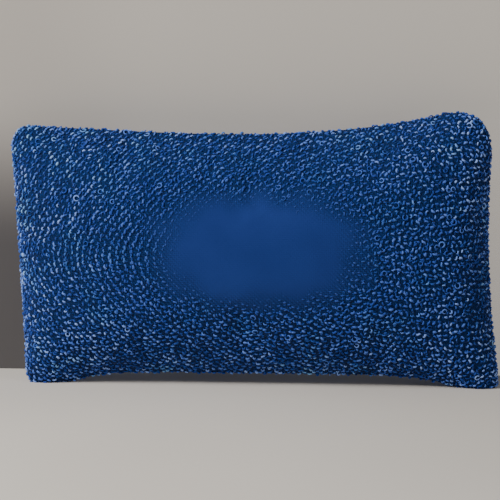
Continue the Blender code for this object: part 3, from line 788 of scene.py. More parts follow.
def inner_rows(rows, side, seams):
    """The inside of a panel. seams says which of the bottom, top, left and right edges
    turn in as a lip."""
    normals = sheet_normals(rows, side)
    last_row, last_column = len(rows) - 1, len(rows[0]) - 1
    inside = []
    for r, row in enumerate(rows):
        line = []
        for c, point in enumerate(row):
            next_row = r + (seams[0] and r == 0) - (seams[1] and r == last_row)
            next_column = c + (seams[2] and c == 0) - (seams[3] and c == last_column)
            if (next_row, next_column) != (r, c):
                lip = point.lerp(rows[next_row][next_column], 0.7)
                line.append(Vector((lip.x, side * SEAM_HALF, max(lip.z, COVER_FABRIC / 2))))
                continue
            moved = point - normals[r][c] * COVER_FABRIC
            line.append(Vector((moved.x, side * max(side * moved.y, SEAM_HALF),
                                max(moved.z, COVER_FABRIC / 2))))
        inside.append(line)
    return inside


def rim(rows):
    right, left = [row[-1] for row in rows[1:-1]], [row[0] for row in rows[-2:0:-1]]
    return [*rows[0], *right, *rows[-1][::-1], *left]


def numbered(rows, start=0):
    wide = len(rows[0])
    return [[start + r * wide + c for c in range(wide)] for r in range(len(rows))]


def grid_faces(numbers, flip):
    faces = []
    for low, high in zip(numbers, numbers[1:]):
        for i in range(len(low) - 1):
            corners = (low[i], low[i + 1], high[i + 1], high[i])
            faces.append(corners[::-1] if flip else corners)
    return faces


def add_piece(name, mesh, finish=None):
    made = bpy.data.objects.new(name, mesh)
    if finish is not None:
        mesh.materials.append(finish)
    bpy.context.scene.collection.objects.link(made)
    return made


def stand_for(piece, node):
    """Puts a piece on the cushion in place of a node of the CAD model."""
    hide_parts(node)
    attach(piece, "cushion")
    print(piece.name, len(piece.data.polygons), "faces")


def panel_mesh(name, rows, side, seams):
    inside = inner_rows(rows, side, seams)
    outer, inner = numbered(rows), numbered(rows, len(rows) * len(rows[0]))
    faces = grid_faces(outer, side == BACK) + grid_faces(inner, side == FRONT)
    around, under = rim(outer), rim(inner)
    for i in range(len(around)):
        corners = (around[i], around[i - 1], under[i - 1], under[i])
        faces.append(corners[::-1] if side == BACK else corners)
    mesh = new_mesh(name, [p for row in (*rows, *inside) for p in row], faces)
    mesh.shade_smooth()
    mesh.set_sharp_from_angle(angle=1.0)
    return mesh


# %% [markdown]
# ## Where the pile stands and which way it leans
# The loops read what is painted on the cloth. Pile fades to nothing in the brushed middle of
# the front, and vivid says how far the shades spread round it. Free is nothing beside the zip,
# where loops would catch in the slider. Row counts the rows of loops, nap is the way that they
# run, next_row is the step across to the next one, and combed says how well they are kept.

# %% Painting the cloth
BRUSHED_MIDDLE = Vector((0.011, 0.143))
BRUSHED_HALF_WIDE, BRUSHED_HALF_HIGH = 0.074, 0.041
BRUSHED_FADE = 0.85  # in half sizes
BRUSHED_SQUARE = 2.6  # 2 is an ellipse, and more is squarer
WOBBLE, WOBBLE_SIZE = 0.16, 0.022  # of its edge
CALM_SHARE, CALM_FULL, CALM_FADE = 0.30, 1.4, 1.9  # even shades round it, in half sizes
ZIP_CLEAR, ZIP_CLEAR_FADE = 0.0108, 0.0012
ROW_MIDDLE = 0.137  # height at which the rows turn over
ROW_BEND = 0.020
ROW_SLOPE, ROW_TURN = 0.60, 2.6  # slope of the rows at the middle, and its change per metre
ROW_PITCH, WIDEST_ROW = 0.0068, 0.0085
ROW_EDGE, ROW_CROWDING = 0.075, 3.0  # beyond this from the middle, the rows crowd and level out


def brushed_out(point):
    """How far out of the brushed middle a place lies, in half sizes."""
    across = abs(point.x - BRUSHED_MIDDLE.x) / BRUSHED_HALF_WIDE
    up = abs(point.z - BRUSHED_MIDDLE.y) / BRUSHED_HALF_HIGH
    out = (across**BRUSHED_SQUARE + up**BRUSHED_SQUARE) ** (1 / BRUSHED_SQUARE)
    return out + noise.noise(Vector((point.x, 0.0, point.z)) / WOBBLE_SIZE) * WOBBLE


def pile_height(point, side):
    return 1 - fade(brushed_out(point), 0.90, BRUSHED_FADE) if side == FRONT else 1.0


def pile_contrast(point, side):
    """How far the loops' shades spread: least round the brushed middle."""
    if side == BACK:
        return 0.8
    return mix(CALM_SHARE, 1.0, 1 - fade(brushed_out(point), CALM_FULL, CALM_FADE))


def loops_free(point, side):
    if side == FRONT:
        return 1.0
    along = fade(abs(point.x), ZIP_LENGTH / 2 + 0.016, 0.004)
    away = abs(point.z - ZIP_ORIGIN.z) / ZIP_UP.z
    return 1 - along * fade(away, ZIP_CLEAR, ZIP_CLEAR_FADE)


def combed(point, side):
    """How well the loops keep to their rows: less and less towards the right end."""
    return fade(point.x, 0.03, 0.15) * (1.0 if side == FRONT else 0.5)


def row_count(x, z):
    """Counts the rows of loops: a whole number on each row, and a half between two."""
    slope = ROW_SLOPE - ROW_TURN * x
    bend = ROW_BEND * min(slope / ROW_SLOPE, 1.3) ** 2
    above = z - ROW_MIDDLE
    height = sqrt(above**2 + bend**2) + ROW_CROWDING * max(abs(above) - ROW_EDGE, 0.0) ** 2
    return (ROW_SLOPE * x - ROW_TURN / 2 * x * x - height) / ROW_PITCH


def row_steps(point):
    """The way along the row at a point, and the step that leads straight to the next row."""
    x, z, little = point.x, point.z, 0.0005
    across = Vector((row_count(x + little, z) - row_count(x - little, z), 0.0,
                     row_count(x, z + little) - row_count(x, z - little))) / (2 * little)
    steepest = max(across.length_squared, WIDEST_ROW**-2)
    return Vector((-across.z, 0.0, across.x)).normalized(), across / steepest


def paint_cloth(mesh, side):
    points = [v.co for v in mesh.vertices]
    for name, find in (("pile", pile_height), ("vivid", pile_contrast), ("free", loops_free),
                       ("combed", combed)):
        layer = mesh.attributes.new(name, "FLOAT", "POINT")
        layer.data.foreach_set("value", [find(p, side) for p in points])
    rows = mesh.attributes.new("row", "FLOAT", "POINT")
    rows.data.foreach_set("value", [row_count(p.x, p.z) for p in points])
    for name, steps in zip(("nap", "next_row"), zip(*map(row_steps, points))):
        layer = mesh.attributes.new(name, "FLOAT_VECTOR", "POINT")
        layer.data.foreach_set("vector", [c for step in steps for c in step])


# %% [markdown]
# ## Cutting the three panels
# The front is one grid. The back is two, with the zip's window between them, so each of their
# columns starts at the window's edge. A few rows close to that edge round its fold.

# %% Front and back panels
FOLD_ROWS = (0.0, 0.06, 0.22, 0.5, 1.0)  # places across the rounded fold, in thicknesses


def window_half(x):
    return mix(GAP, WINDOW_HALF, fade(abs(x) - ZIP_LENGTH / 2, WINDOW_END, WINDOW_CLOSE))


def row_beside_zip(u, distance):
    return solve(lambda v: flat_point(u, v).y, ZIP_HEIGHT + distance * ZIP_UP.z)


def back_grid(side_of_zip, count):
    """Rows of one back panel, from its seam to the fold beside the zip."""
    columns = seamed(spread(COVER_COLUMNS), SEAM_STEP_U)
    lines = []
    for u in columns:
        x = flat_point(u, row_beside_zip(u, 0)).x - CENTRE_X
        edge = row_beside_zip(u, side_of_zip * window_half(x))
        start = side_of_zip * (1 - SEAM_STEP_V)
        per_metre = 1 / (ZIP_UP.z * HEIGHT / 2)
        radius = COVER_FABRIC / 2
        inner_end = edge + side_of_zip * radius * per_metre
        shares = [i / (count - 1) for i in range(count)]
        even = [mix(start, inner_end, mix(t, sin(pi / 2 * t), 0.5)) for t in shares[:-1]]
        folds = [edge + side_of_zip * radius * per_metre * t for t in FOLD_ROWS]
        line = []
        for v in sorted([side_of_zip, *even, *folds]):
            point = settled_point(u, v, BACK)
            away = min(abs(v - edge) / (radius * per_metre), 1.0)
            drop = radius * (1 - sqrt(max(1 - (1 - away) ** 2, 0.0))) if abs(u) < 1 else 0.0
            line.append(point - ZIP_OUT * drop * 0.9)
        lines.append(line)
    return [list(row) for row in zip(*lines)]


def front_grid():
    columns = seamed(spread(COVER_COLUMNS), SEAM_STEP_U)
    rows = seamed(spread(COVER_ROWS), SEAM_STEP_V)
    return [[settled_point(u, v, FRONT) for u in columns] for v in rows]


def skin(rows, side):
    """Only the outside of a panel, which the loops grow on."""
    faces = grid_faces(numbered(rows), side == BACK)
    mesh = new_mesh("skin", [p for row in rows for p in row], faces)
    paint_cloth(mesh, side)
    return mesh


PANELS = {
    "cover_front": (front_grid(), FRONT, (1, 1, 1, 1)),
    "cover_back_upper": (back_grid(1, COVER_ROWS - LOWER_ROWS), BACK, (0, 1, 1, 1)),
    "cover_back_lower": (back_grid(-1, LOWER_ROWS), BACK, (1, 0, 1, 1)),
}
SKINS = {}
for name, (rows, side, seams) in PANELS.items():
    cloth = add_piece(f"{name}_cloth", panel_mesh(name, rows, side, seams), GROUND_FINISH)
    paint_cloth(cloth.data, side)
    stand_for(cloth, f"{name}_panel")
    SKINS[name] = skin(rows, side)

# %% [markdown]
# ## Shapes of loop
# Under a glass, boucle yarn lies in short arches, commas, little hooks and now and then a whole
# open ring. Each is a thin tube along a few points. Thousands are needed, so each tube has only
# a few dozen faces, and smooth shading makes it look round.

# %% Loop shapes
MM = 0.001
LOOP_SIDES = 4


def tube(name, path, radius, sides=LOOP_SIDES, taper=0.55):
    """A tube along points. Its ends are drawn in to a blunt tip and closed."""
    points = [Vector(p) for p in path]
    last = len(points) - 1
    verts, faces, across = [], [], None
    for i, point in enumerate(points):
        way = (points[min(i + 1, last)] - points[max(i - 1, 0)]).normalized()
        if across is None:
            across = way.orthogonal().normalized()
        across = (across - way * across.dot(way)).normalized()
        third = way.cross(across)
        wide = radius * (taper if i in (0, last) else 1.0)
        for s in range(sides):
            turn = 2 * pi * (s + 0.5) / sides
            verts.append(point + (across * cos(turn) + third * sin(turn)) * wide)
    for a in range(0, last * sides, sides):
        b = a + sides
        faces += [(a + s, a + (s + 1) % sides, b + (s + 1) % sides, b + s) for s in range(sides)]
    faces += [tuple(range(sides))[::-1], tuple(range(last * sides, (last + 1) * sides))]
    mesh = new_mesh(name, verts, faces)
    mesh.shade_smooth()
    return mesh


def arc(radius, start, end, count, low, high, tilt=0.0):
    """Points round part of a circle that rise from low to high and come down again."""
    points = []
    for i in range(count):
        share = i / (count - 1)
        turn = radians(mix(start, end, share))
        rise = low + (high - low) * sin(pi * share)
        points.append((radius * cos(turn), radius * sin(turn), rise + tilt * sin(turn)))
    return points


LOOP_SHAPES = {  # a path and the radius of its yarn, both in millimetres
    "a_arch": ([(-2.2, -0.2, -0.7), (-1.3, 0.0, 0.45), (-0.1, 0.3, 0.85), (1.1, 0.1, 0.6),
                (2.1, -0.4, -0.7)], 1.15),
    "b_dash": ([(-1.8, 0.3, -0.6), (-0.9, 0.1, 0.5), (0.1, -0.1, 0.8), (1.0, 0.1, 0.5),
                (1.7, 0.4, -0.6)], 1.25),
    "c_hook": ([(-2.2, -0.6, -0.7), (-1.0, -0.5, 0.6), (0.4, -0.1, 0.9), (1.4, 0.7, 0.6),
                (1.1, 1.7, -0.4)], 1.02),
    "d_worm": ([(-2.4, 0.6, -0.6), (-1.1, -0.4, 0.6), (0.0, 0.1, 0.9), (1.1, 0.5, 0.6),
                (2.4, -0.5, -0.6)], 1.02),
    "e_comma": (arc(1.6, 20, 200, 5, -0.5, 0.8), 1.00),
    "f_ring": (arc(2.7, -30, 290, 9, 0.1, 0.9, 0.3), 0.80),
}
loop_shapes = bpy.data.collections.new("loop_shapes")
for name, (path, radius) in LOOP_SHAPES.items():
    scaled = [(x * MM, y * MM, z * MM) for x, y, z in path]
    loop_shapes.objects.link(bpy.data.objects.new(name, tube(name, scaled, radius * MM)))
print("loop shapes:", len(LOOP_SHAPES))

# %% [markdown]
# ## Growing the loops
# Geometry Nodes scatter points evenly over the cloth and move each one towards the nearest
# row. A loop stands on each point, turned with the nap and a little at random. Its shade comes
# from how near it is to a row, from slow patches and from chance. A ring is rare, so the choice
# of shape is weighted. The tree ends by making the copies real and pressing the lowest flat on
# the floor.

# %% Loop tree
LOOP_SINK = 0.0015  # how deep the brushed loops lie
LEAST_KEPT, MOST_UNRULY = 0.45, 2.6  # rows and turns where the loops aren't combed
PATCH_SCALE, PATCH_DEPTH = 34.0, 0.9
EVEN_TINT = 0.42  # the shade that calm loops share
LEAST_SIZE, MOST_SIZE, BRUSHED_SIZE = 0.78, 1.18, 0.70
COMMON_SHAPES, RING = 4.999, 5.0  # the ring comes last in the collection


def give_finish(pen, shape, given, output):
    inputs = {"Geometry": shape, "Material": given["Finish"]}
    pen.link(pen.add("GeometryNodeSetMaterial", inputs, out=0), output)


def loop_tree():
    pen, given, result = new_tree(
        "grow_loops",
        "GeometryNodeTree",
        {
            "Cloth": (SHAPE,),
            "Spacing": (SCALAR, 0.005),
            "Size": (SCALAR, 1.0),
            "Lift": (SCALAR, 0.0),
            "Gather": (SCALAR, 0.7),
            "Row Contrast": (SCALAR, 0.3),
            "Darkest": (SCALAR, 0.2),
            "Lightest": (SCALAR, 1.0),
            "Turn": (SCALAR, 0.6),
            "Rings": (SCALAR, 0.04),
            "Seed": (WHOLE, 1),
            "Finish": (FINISH,),
        },
        {"Loops": (SHAPE,)},
    )

    def attribute(name, kind="FLOAT"):
        return pen.add("GeometryNodeInputNamedAttribute", {"Name": name}, out="Attribute",
                       data_type=kind)

    def chance(low, high, offset):
        seed = pen.plus(given["Seed"], float(offset))
        inputs = {2: low, 3: high, "Seed": seed}
        return pen.add("FunctionNodeRandomValue", inputs, out=1, data_type="FLOAT")

    pile, free = attribute("pile"), attribute("free")
    dense = pen.times(pen.maths("MINIMUM", pen.times(pile, 9.0), 1.0), free)
    scatter = pen.add(
        "GeometryNodeDistributePointsOnFaces",
        {"Mesh": given["Cloth"], "Distance Min": given["Spacing"], "Density Max": 400000.0,
         "Density Factor": dense, "Seed": given["Seed"]},
        distribute_method="POISSON",
    )
    sunk = pen.times(pen.maths("SUBTRACT", pile, 1.0), LOOP_SINK)
    lift = pen.plus(given["Lift"], sunk)

    def vectors(operation, inputs):
        return pen.add("ShaderNodeVectorMath", inputs, out=0, operation=operation)

    normal, tidy = scatter.outputs["Normal"], attribute("combed")
    raised = vectors("SCALE", {0: normal, "Scale": lift})
    count = attribute("row")
    off_row = pen.maths("SUBTRACT", pen.maths("ROUND", count), count)
    gather = pen.times(given["Gather"], pen.remap(tidy, LEAST_KEPT, 1.0))
    step = vectors("SCALE", {0: attribute("next_row", "FLOAT_VECTOR"),
                             "Scale": pen.times(off_row, gather)})
    along_cloth = vectors("SUBTRACT", {0: step, 1: vectors("PROJECT", {0: step, 1: normal})})
    move = vectors("ADD", {0: raised, 1: along_cloth})
    points = pen.add(
        "GeometryNodeSetPosition", {"Geometry": scatter.outputs["Points"], "Offset": move}, out=0
    )
    upright = pen.add("FunctionNodeAlignRotationToVector", {"Vector": normal}, out=0, axis="Z")
    combed = pen.add(
        "FunctionNodeAlignRotationToVector",
        {"Rotation": upright, "Vector": attribute("nap", "FLOAT_VECTOR")},
        out=0, axis="X", pivot_axis="Z",
    )
    unruly = pen.remap(tidy, MOST_UNRULY, 1.0)
    angle = pen.times(chance(-1.0, 1.0, 11), pen.times(given["Turn"], unruly))
    flip = pen.times(pen.maths("ROUND", chance(0.0, 1.0, 12)), pi)
    twist = pen.add("FunctionNodeAxisAngleToRotation",
                    {"Axis": (0.0, 0.0, 1.0), "Angle": pen.plus(angle, flip)}, out=0)
    turned = pen.add("FunctionNodeRotateRotation", {"Rotation": combed, "Rotate By": twist},
                     out=0, rotation_space="LOCAL")

    row = pen.times(pen.maths("COSINE", pen.times(off_row, 2 * pi)), given["Row Contrast"])
    patch = pen.add("ShaderNodeTexNoise", {"Scale": PATCH_SCALE, "Detail": 2.0}, out=0)
    patch = pen.times(pen.maths("SUBTRACT", patch, 0.5), PATCH_DEPTH)
    share = pen.plus(chance(0.0, 1.0, 13), pen.plus(row, patch))
    tint = pen.remap(share, given["Darkest"], given["Lightest"])
    tint = pen.remap(pen.times(pile, attribute("vivid")), EVEN_TINT, tint)

    shape = pen.maths("FLOOR", chance(0.0, COMMON_SHAPES, 14))
    rings = pen.times(given["Rings"], unruly)
    shape = pen.remap(pen.maths("LESS_THAN", chance(0.0, 1.0, 15), rings), shape, RING)
    size = pen.times(given["Size"], chance(LEAST_SIZE, MOST_SIZE, 16))
    size = pen.times(size, pen.plus(pen.times(pile, 1 - BRUSHED_SIZE), BRUSHED_SIZE))
    size = pen.times(size, pen.plus(pen.times(row, 0.25), 1.0))
    shapes = pen.add("GeometryNodeCollectionInfo",
                     {"Collection": loop_shapes, "Separate Children": True,
                      "Reset Children": True}, out=0)
    copies = pen.add(
        "GeometryNodeInstanceOnPoints",
        {"Points": points, "Instance": shapes, "Pick Instance": True, "Instance Index": shape,
         "Rotation": turned, "Scale": size},
        out=0,
    )
    for name, value in (("tint", tint), ("pile", pile)):
        store = pen.add("GeometryNodeStoreNamedAttribute", {"Geometry": copies, "Name": name},
                        data_type="FLOAT", domain="INSTANCE")
        pen.link(value, find_socket(store.inputs, "Value"))
        copies = store.outputs[0]
    real = pen.add("GeometryNodeRealizeInstances", {0: copies}, out=0)
    spot = pen.add("ShaderNodeSeparateXYZ", {0: pen.add("GeometryNodeInputPosition", out=0)})
    on_floor = pen.add(
        "ShaderNodeCombineXYZ",
        {0: spot.outputs[0], 1: spot.outputs[1], 2: pen.maths("MAXIMUM", spot.outputs[2], 0.0)},
        out=0,
    )
    pressed = pen.add("GeometryNodeSetPosition", {"Geometry": real, "Position": on_floor}, out=0)
    give_finish(pen, pressed, given, result["Loops"])
    return pen.tree


def grow(name, mesh, tree, **sizes):
    """A plain mesh object made by a tree. The modifier's inputs are set by identifier
    before the object is looked at for the first time."""
    made = add_piece(name, mesh)
    grower = made.modifiers.new("grow", "NODES")
    grower.node_group = tree
    wanted = {label.replace("_", " "): value for label, value in sizes.items()}
    for item in tree.interface.items_tree:
        if item.in_out == "INPUT" and item.name in wanted:
            grower[item.identifier] = wanted.pop(item.name)
    if wanted:
        raise ValueError(f"{name}: the tree has no inputs named {sorted(wanted)}")
    graph = bpy.context.evaluated_depsgraph_get()
    result = bpy.data.meshes.new_from_object(
        made.evaluated_get(graph), preserve_all_data_layers=True, depsgraph=graph
    )
    made.modifiers.remove(grower)
    made.data = result
    bpy.data.meshes.remove(mesh)
    return made


# %% [markdown]
# Two layers make the depth: low loops close to the ground, and tall ones between and over them.
# The low loops are held to the darker shades as painted shade for lying under the tall ones, and
# the tall ones take the lighter. They are separate pieces so that neither mesh grows too heavy.

# %% Two layers of loops
LAYERS = {
    # the low layer's darker shades are painted shade under the tall loops
    "low_loops": {"Spacing": 0.0050, "Size": 0.82, "Lift": -0.0003, "Darkest": 0.0,
                  "Lightest": 0.5, "Turn": 1.0, "Rings": 0.0, "Row_Contrast": 0.1,
                  "Gather": 0.0, "Seed": 7},
    "tall_loops": {"Spacing": 0.0045, "Size": 0.92, "Lift": 0.0002, "Darkest": 0.24,
                   "Lightest": 0.96, "Turn": 0.50, "Rings": 0.02, "Row_Contrast": 0.12,
                   "Gather": 0.75, "Seed": 21},
}
LOOPS = loop_tree()
for name, mesh in SKINS.items():
    for layer, sizes in LAYERS.items():
        loops = grow(f"{name}_{layer}", mesh.copy(), LOOPS, Finish=YARN_FINISH, **sizes)
        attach(loops, "cushion")
        print(loops.name, sum(len(p.vertices) - 2 for p in loops.data.polygons), "triangles")
    bpy.data.meshes.remove(mesh)

# %% [markdown]
# ## Stitches, teeth and tapes
# What repeats along a line is one shape on many points. This tree takes any shape and lays it
# at an even pitch: the nylon teeth and the topstitches both come from it.

# %% Row tree
def row_tree():
    pen, given, result = new_tree(
        "row_along_zip",
        "GeometryNodeTree",
        {"Line": (SHAPE,), "Shape": (THING,), "Count": (WHOLE, 10), "Pitch": (SCALAR, 0.001),
         "Start": (SCALAR, 0.0), "Finish": (FINISH,)},
        {"Row": (SHAPE,)},
    )
    start = pen.add("ShaderNodeCombineXYZ", {0: given["Start"]}, out=0)
    pitch = pen.add("ShaderNodeCombineXYZ", {0: given["Pitch"]}, out=0)
    line = pen.add("GeometryNodeMeshLine",
                   {"Count": given["Count"], "Start Location": start, "Offset": pitch}, out=0)
    shape = pen.add("GeometryNodeObjectInfo", {"Object": given["Shape"], "As Instance": True},
                    out="Geometry")
    copies = pen.add("GeometryNodeInstanceOnPoints", {"Points": line, "Instance": shape}, out=0)
    real = pen.add("GeometryNodeRealizeInstances", {0: copies}, out=0)
    give_finish(pen, real, given, result["Row"])
    return pen.tree


# %% [markdown]
# ## The zip's coils
# A nylon zip is one stiff thread wound in a long flat spiral on each tape. Each turn is one
# tooth. The slider's post runs between the two rows, so a narrow slot stays open there.

# %% Coils
TAPE_TOP = -COVER_FABRIC - GAP
TAPE_THICK = 0.0005
COIL_BOTTOM, COIL_HEIGHT = TAPE_TOP + GAP, 0.0016
COIL_IN, COIL_OUT = 0.00052, 0.0030
TOOTH_PITCH, TOOTH_RADIUS = 0.00125, 0.00030
TOOTH_SLANT = 0.42  # of the pitch
CHAIN_END = ZIP_LENGTH / 2
ZIP_SIDES = {"upper": 1, "lower": -1}
ROWS = row_tree()


def tooth_mesh(side_of_zip, shift):
    """One turn of the spiral: in along the top to the head, and back along the bottom."""
    middle = (COIL_IN + COIL_OUT) / 2
    half_wide = (COIL_OUT - COIL_IN) / 2 - TOOTH_RADIUS
    half_high = COIL_HEIGHT / 2 - TOOTH_RADIUS
    path = []
    for i in range(9):
        turn = 2 * pi * i / 8
        path.append((
            shift + TOOTH_PITCH * TOOTH_SLANT * (i / 8 - 0.5),
            side_of_zip * (middle + half_wide * cos(turn)),
            COIL_BOTTOM + COIL_HEIGHT / 2 + half_high * sin(turn),
        ))
    return tube("tooth", path, TOOTH_RADIUS, sides=5, taper=0.9)


def place_on_zip(piece):
    piece.data.transform(ZIP_PLACE)
    return piece


def add_row(name, shape_mesh, count, pitch, start, finish, node):
    """A row of one shape along the zip, as a plain mesh that stands for a CAD node."""
    shape = bpy.data.objects.new("shape", shape_mesh)
    made = grow(name, bpy.data.meshes.new("line"), ROWS, Shape=shape, Count=count, Pitch=pitch,
                Start=start, Finish=finish)
    discard(shape)
    stand_for(place_on_zip(made), node)


for word, side_of_zip in ZIP_SIDES.items():
    teeth = int((ZIP_LENGTH - TOOTH_PITCH) / TOOTH_PITCH)
    shift = 0.0 if side_of_zip > 0 else TOOTH_PITCH / 2
    add_row(f"zip_{word}_teeth", tooth_mesh(side_of_zip, shift), teeth, TOOTH_PITCH,
            -CHAIN_END + TOOTH_PITCH / 2, NYLON_FINISH, f"zip_{word}_coil")

# %% [markdown]
# ## Topstitches
# A row of stitches holds each folded edge down on its tape. Thread dives into the cloth
# between stitches, so each one is a shallow arch with its ends below the surface.

# %% Topstitches
STITCH_LENGTH, STITCH_GAP, STITCH_RADIUS = 0.0031, 0.0007, 0.0003
TOPSTITCH_OUT = 0.0030


def stitch_mesh(across):
    half, sink = STITCH_LENGTH / 2, -0.0004
    top = GAP + STITCH_RADIUS
    path = [(-half, across, sink), (-half * 0.86, across, top * 0.6), (-half * 0.4, across, top),
            (half * 0.4, across, top), (half * 0.86, across, top * 0.6), (half, across, sink)]
    return tube("stitch", path, STITCH_RADIUS, sides=6)


for word, side_of_zip in ZIP_SIDES.items():
    pitch = STITCH_LENGTH + STITCH_GAP
    count = int(ZIP_LENGTH / pitch)
    add_row(f"zip_{word}_stitches", stitch_mesh(side_of_zip * (WINDOW_HALF + TOPSTITCH_OUT)),
            count, pitch, -(count - 1) * pitch / 2, THREAD_FINISH, f"zip_{word}_topstitch")

# %% [markdown]
# ## Tapes
# A zip's tape is woven with fine ribs along its length and a thicker cord beside the coil. A
# grid of long quads with that cross-section, closed underneath, is all it needs.

# %% Tapes
SLOT_HALF = 0.0007
RIB_PITCH, RIB_HEIGHT = 0.0016, 0.00010
CORD_AT, CORD_HALF, CORD_HEIGHT = 0.0038, 0.0005, 0.00028


def tape_profile():
    """Places across the tape and the height of its upper face at each."""
    count = 64
    places = [mix(SLOT_HALF, TAPE_HALF, i / (count - 1)) for i in range(count)]
    profile = []
    for y in places:
        rib = RIB_HEIGHT * (abs(sin(pi * y / RIB_PITCH)) - 1)
        cord = CORD_HEIGHT * sqrt(max(1 - ((y - CORD_AT) / CORD_HALF) ** 2, 0.0))
        profile.append((y, TAPE_TOP + rib + cord))
    return profile


def tape_mesh(name, side_of_zip):
    reach, count = CHAIN_END + TAPE_TAIL, 66
    profile = tape_profile()
    under = [(y, TAPE_TOP - TAPE_THICK) for y, _ in profile[::-1]]
    loop = profile + under
    points, faces = [], []
    for i in range(count):
        x = mix(-reach, reach, i / (count - 1))
        points += [(x, side_of_zip * y, z) for y, z in loop]
    wide = len(loop)
    for i in range(count - 1):
        for j in range(wide):
            a, b = i * wide + j, i * wide + (j + 1) % wide
            faces.append((a, b, b + wide, a + wide))
    half = len(profile)
    for start, ahead in ((0, True), ((count - 1) * wide, False)):
        for j in range(half - 1):
            corners = (start + j, start + j + 1, start + wide - 2 - j, start + wide - 1 - j)
            faces.append(corners[::-1] if ahead else corners)
    mesh = new_mesh(name, points, faces)
    mesh.shade_smooth()
    mesh.set_sharp_from_angle(angle=0.9)
    if side_of_zip > 0:
        mesh.flip_normals()
    return mesh


for word, side_of_zip in ZIP_SIDES.items():
    name = f"zip_{word}_woven_tape"
    tape = place_on_zip(add_piece(name, tape_mesh(name, side_of_zip), TAPE_FINISH))
    stand_for(tape, f"zip_{word}_tape")

# %% [markdown]
# ## The cover's seam
# The two panels are sewn face to face and turned, so only a narrow groove shows where they
# meet. A thread runs in it, with a small bar across the groove at each stitch. A second tree
# lays those bars along the closed line of the seam, square to it.

# %% Seam thread
SEAM_INSET = SEAM_FOLD * 0.4
SEAM_STITCH, SEAM_THREAD, SEAM_BAR = 0.0034, 0.0003, 0.00024  # pitch and radii


def seam_line():
    """The closed line of the seam, a little inside the outline."""
    reach_u, reach_v = 1 - 2 * SEAM_INSET / WIDTH, 1 - 2 * SEAM_INSET / HEIGHT
    across, up = spread(150, 0.5), spread(90, 0.5)
    turn = [(u * reach_u, -reach_v) for u in across[:-1]]
    turn += [(reach_u, v * reach_v) for v in up[:-1]]
    turn += [(u * reach_u, reach_v) for u in across[:0:-1]]
    turn += [(-reach_u, v * reach_v) for v in up[:0:-1]]
    points = [flat_point(u, v) for u, v in turn]
    return [Vector((x - CENTRE_X, 0.0, max(z, SEAM_INSET))) for x, z in points]


def seam_tree():
    pen, given, result = new_tree(
        "bars_along_seam",
        "GeometryNodeTree",
        {"Thread": (SHAPE,), "Bar": (THING,), "Pitch": (SCALAR, 0.003), "Finish": (FINISH,)},
        {"Seam": (SHAPE,)},
    )
    line = pen.add("GeometryNodeMeshToCurve", {0: given["Thread"]}, out=0)
    dots = pen.add("GeometryNodeCurveToPoints", {"Curve": line, "Length": given["Pitch"]},
                   mode="LENGTH")
    along = pen.add("FunctionNodeAlignRotationToVector", {"Vector": dots.outputs["Tangent"]},
                    out=0, axis="X", pivot_axis="Y")
    shape = pen.add("GeometryNodeObjectInfo", {"Object": given["Bar"], "As Instance": True},
                    out="Geometry")
    copies = pen.add("GeometryNodeInstanceOnPoints",
                     {"Points": dots.outputs["Points"], "Instance": shape, "Rotation": along},
                     out=0)
    ring = pen.add("GeometryNodeCurvePrimitiveCircle", {"Resolution": 6, "Radius": SEAM_THREAD},
                   out=0)
    thread = pen.add("GeometryNodeCurveToMesh", {"Curve": line, "Profile Curve": ring}, out=0)
    both = pen.add("GeometryNodeJoinGeometry", out=0)
    for part in (copies, thread):
        pen.link(part, both.node.inputs[0])
    real = pen.add("GeometryNodeRealizeInstances", {0: both}, out=0)
    smooth = pen.add("GeometryNodeSetShadeSmooth", {"Geometry": real}, out=0)
    give_finish(pen, smooth, given, result["Seam"])
    return pen.tree


seam_points = seam_line()
links = [(i, (i + 1) % len(seam_points)) for i in range(len(seam_points))]
ring_mesh = new_mesh("seam_line", seam_points, [], links)
bar_path = [(-0.0005, -0.0007, 0.0002), (-0.0002, -0.0004, 0.0004), (0.0002, 0.0004, 0.0004),
            (0.0005, 0.0007, 0.0002)]
bar = bpy.data.objects.new("bar", tube("bar", bar_path, SEAM_BAR, sides=5))
seam = grow("cover_seam_stitches", ring_mesh, seam_tree(), Bar=bar, Pitch=SEAM_STITCH,
            Finish=THREAD_FINISH)
discard(bar)
stand_for(seam, "cover_seam_thread")

# %% [markdown]
# ## The insert
# Nobody sees the insert until the zip is opened, but it is there. Its casing and its fill are
# the CAD sheets made finer: their loose triangles are joined, and a subdivision surface rounds
# them. The fill also gets soft lumps, always inwards, so that it stays inside its casing.

# %% Casing and fill
INSERT = {
    "insert_front_casing": ("pillow_front_casing", "casing", CASING_FINISH),
    "insert_back_casing": ("pillow_back_casing", "casing", CASING_FINISH),
    "insert_fill": ("pillow_fibre_fill", "fibre", FIBRE_FINISH),
}
FILL_LUMP, FILL_LUMP_SIZE = 0.0040, 0.03


def finer_copy(node, name, finish):
    bm = bmesh.new()
    bm.from_mesh(frame["nodes"][node].data)
    bmesh.ops.remove_doubles(bm, verts=bm.verts, dist=0.00002)
    mesh = bpy.data.meshes.new(name)
    bm.to_mesh(mesh)
    bm.free()
    mesh.materials.clear()
    made = add_piece(name, mesh, finish)
    rounding = made.modifiers.new("rounding", "SUBSURF")
    rounding.levels = rounding.render_levels = 1
    graph = bpy.context.evaluated_depsgraph_get()
    rounded = bpy.data.meshes.new_from_object(made.evaluated_get(graph), depsgraph=graph)
    made.modifiers.remove(rounding)
    made.data = rounded
    bpy.data.meshes.remove(mesh)
    return made


def lumpy(mesh):
    """Sinks the surface of the fill by an uneven depth."""
    sunk = [v.co + v.normal * (noise.noise(v.co / FILL_LUMP_SIZE) - 1.0) * FILL_LUMP * 0.5
            for v in mesh.vertices]
    for vertex, place in zip(mesh.vertices, sunk):
        vertex.co = place


for node, (name, slot, finish) in INSERT.items():
    piece = finer_copy(node, name, finish)
    if node == "insert_fill":
        lumpy(piece.data)
    piece.data.shade_smooth()
    stand_for(piece, node)

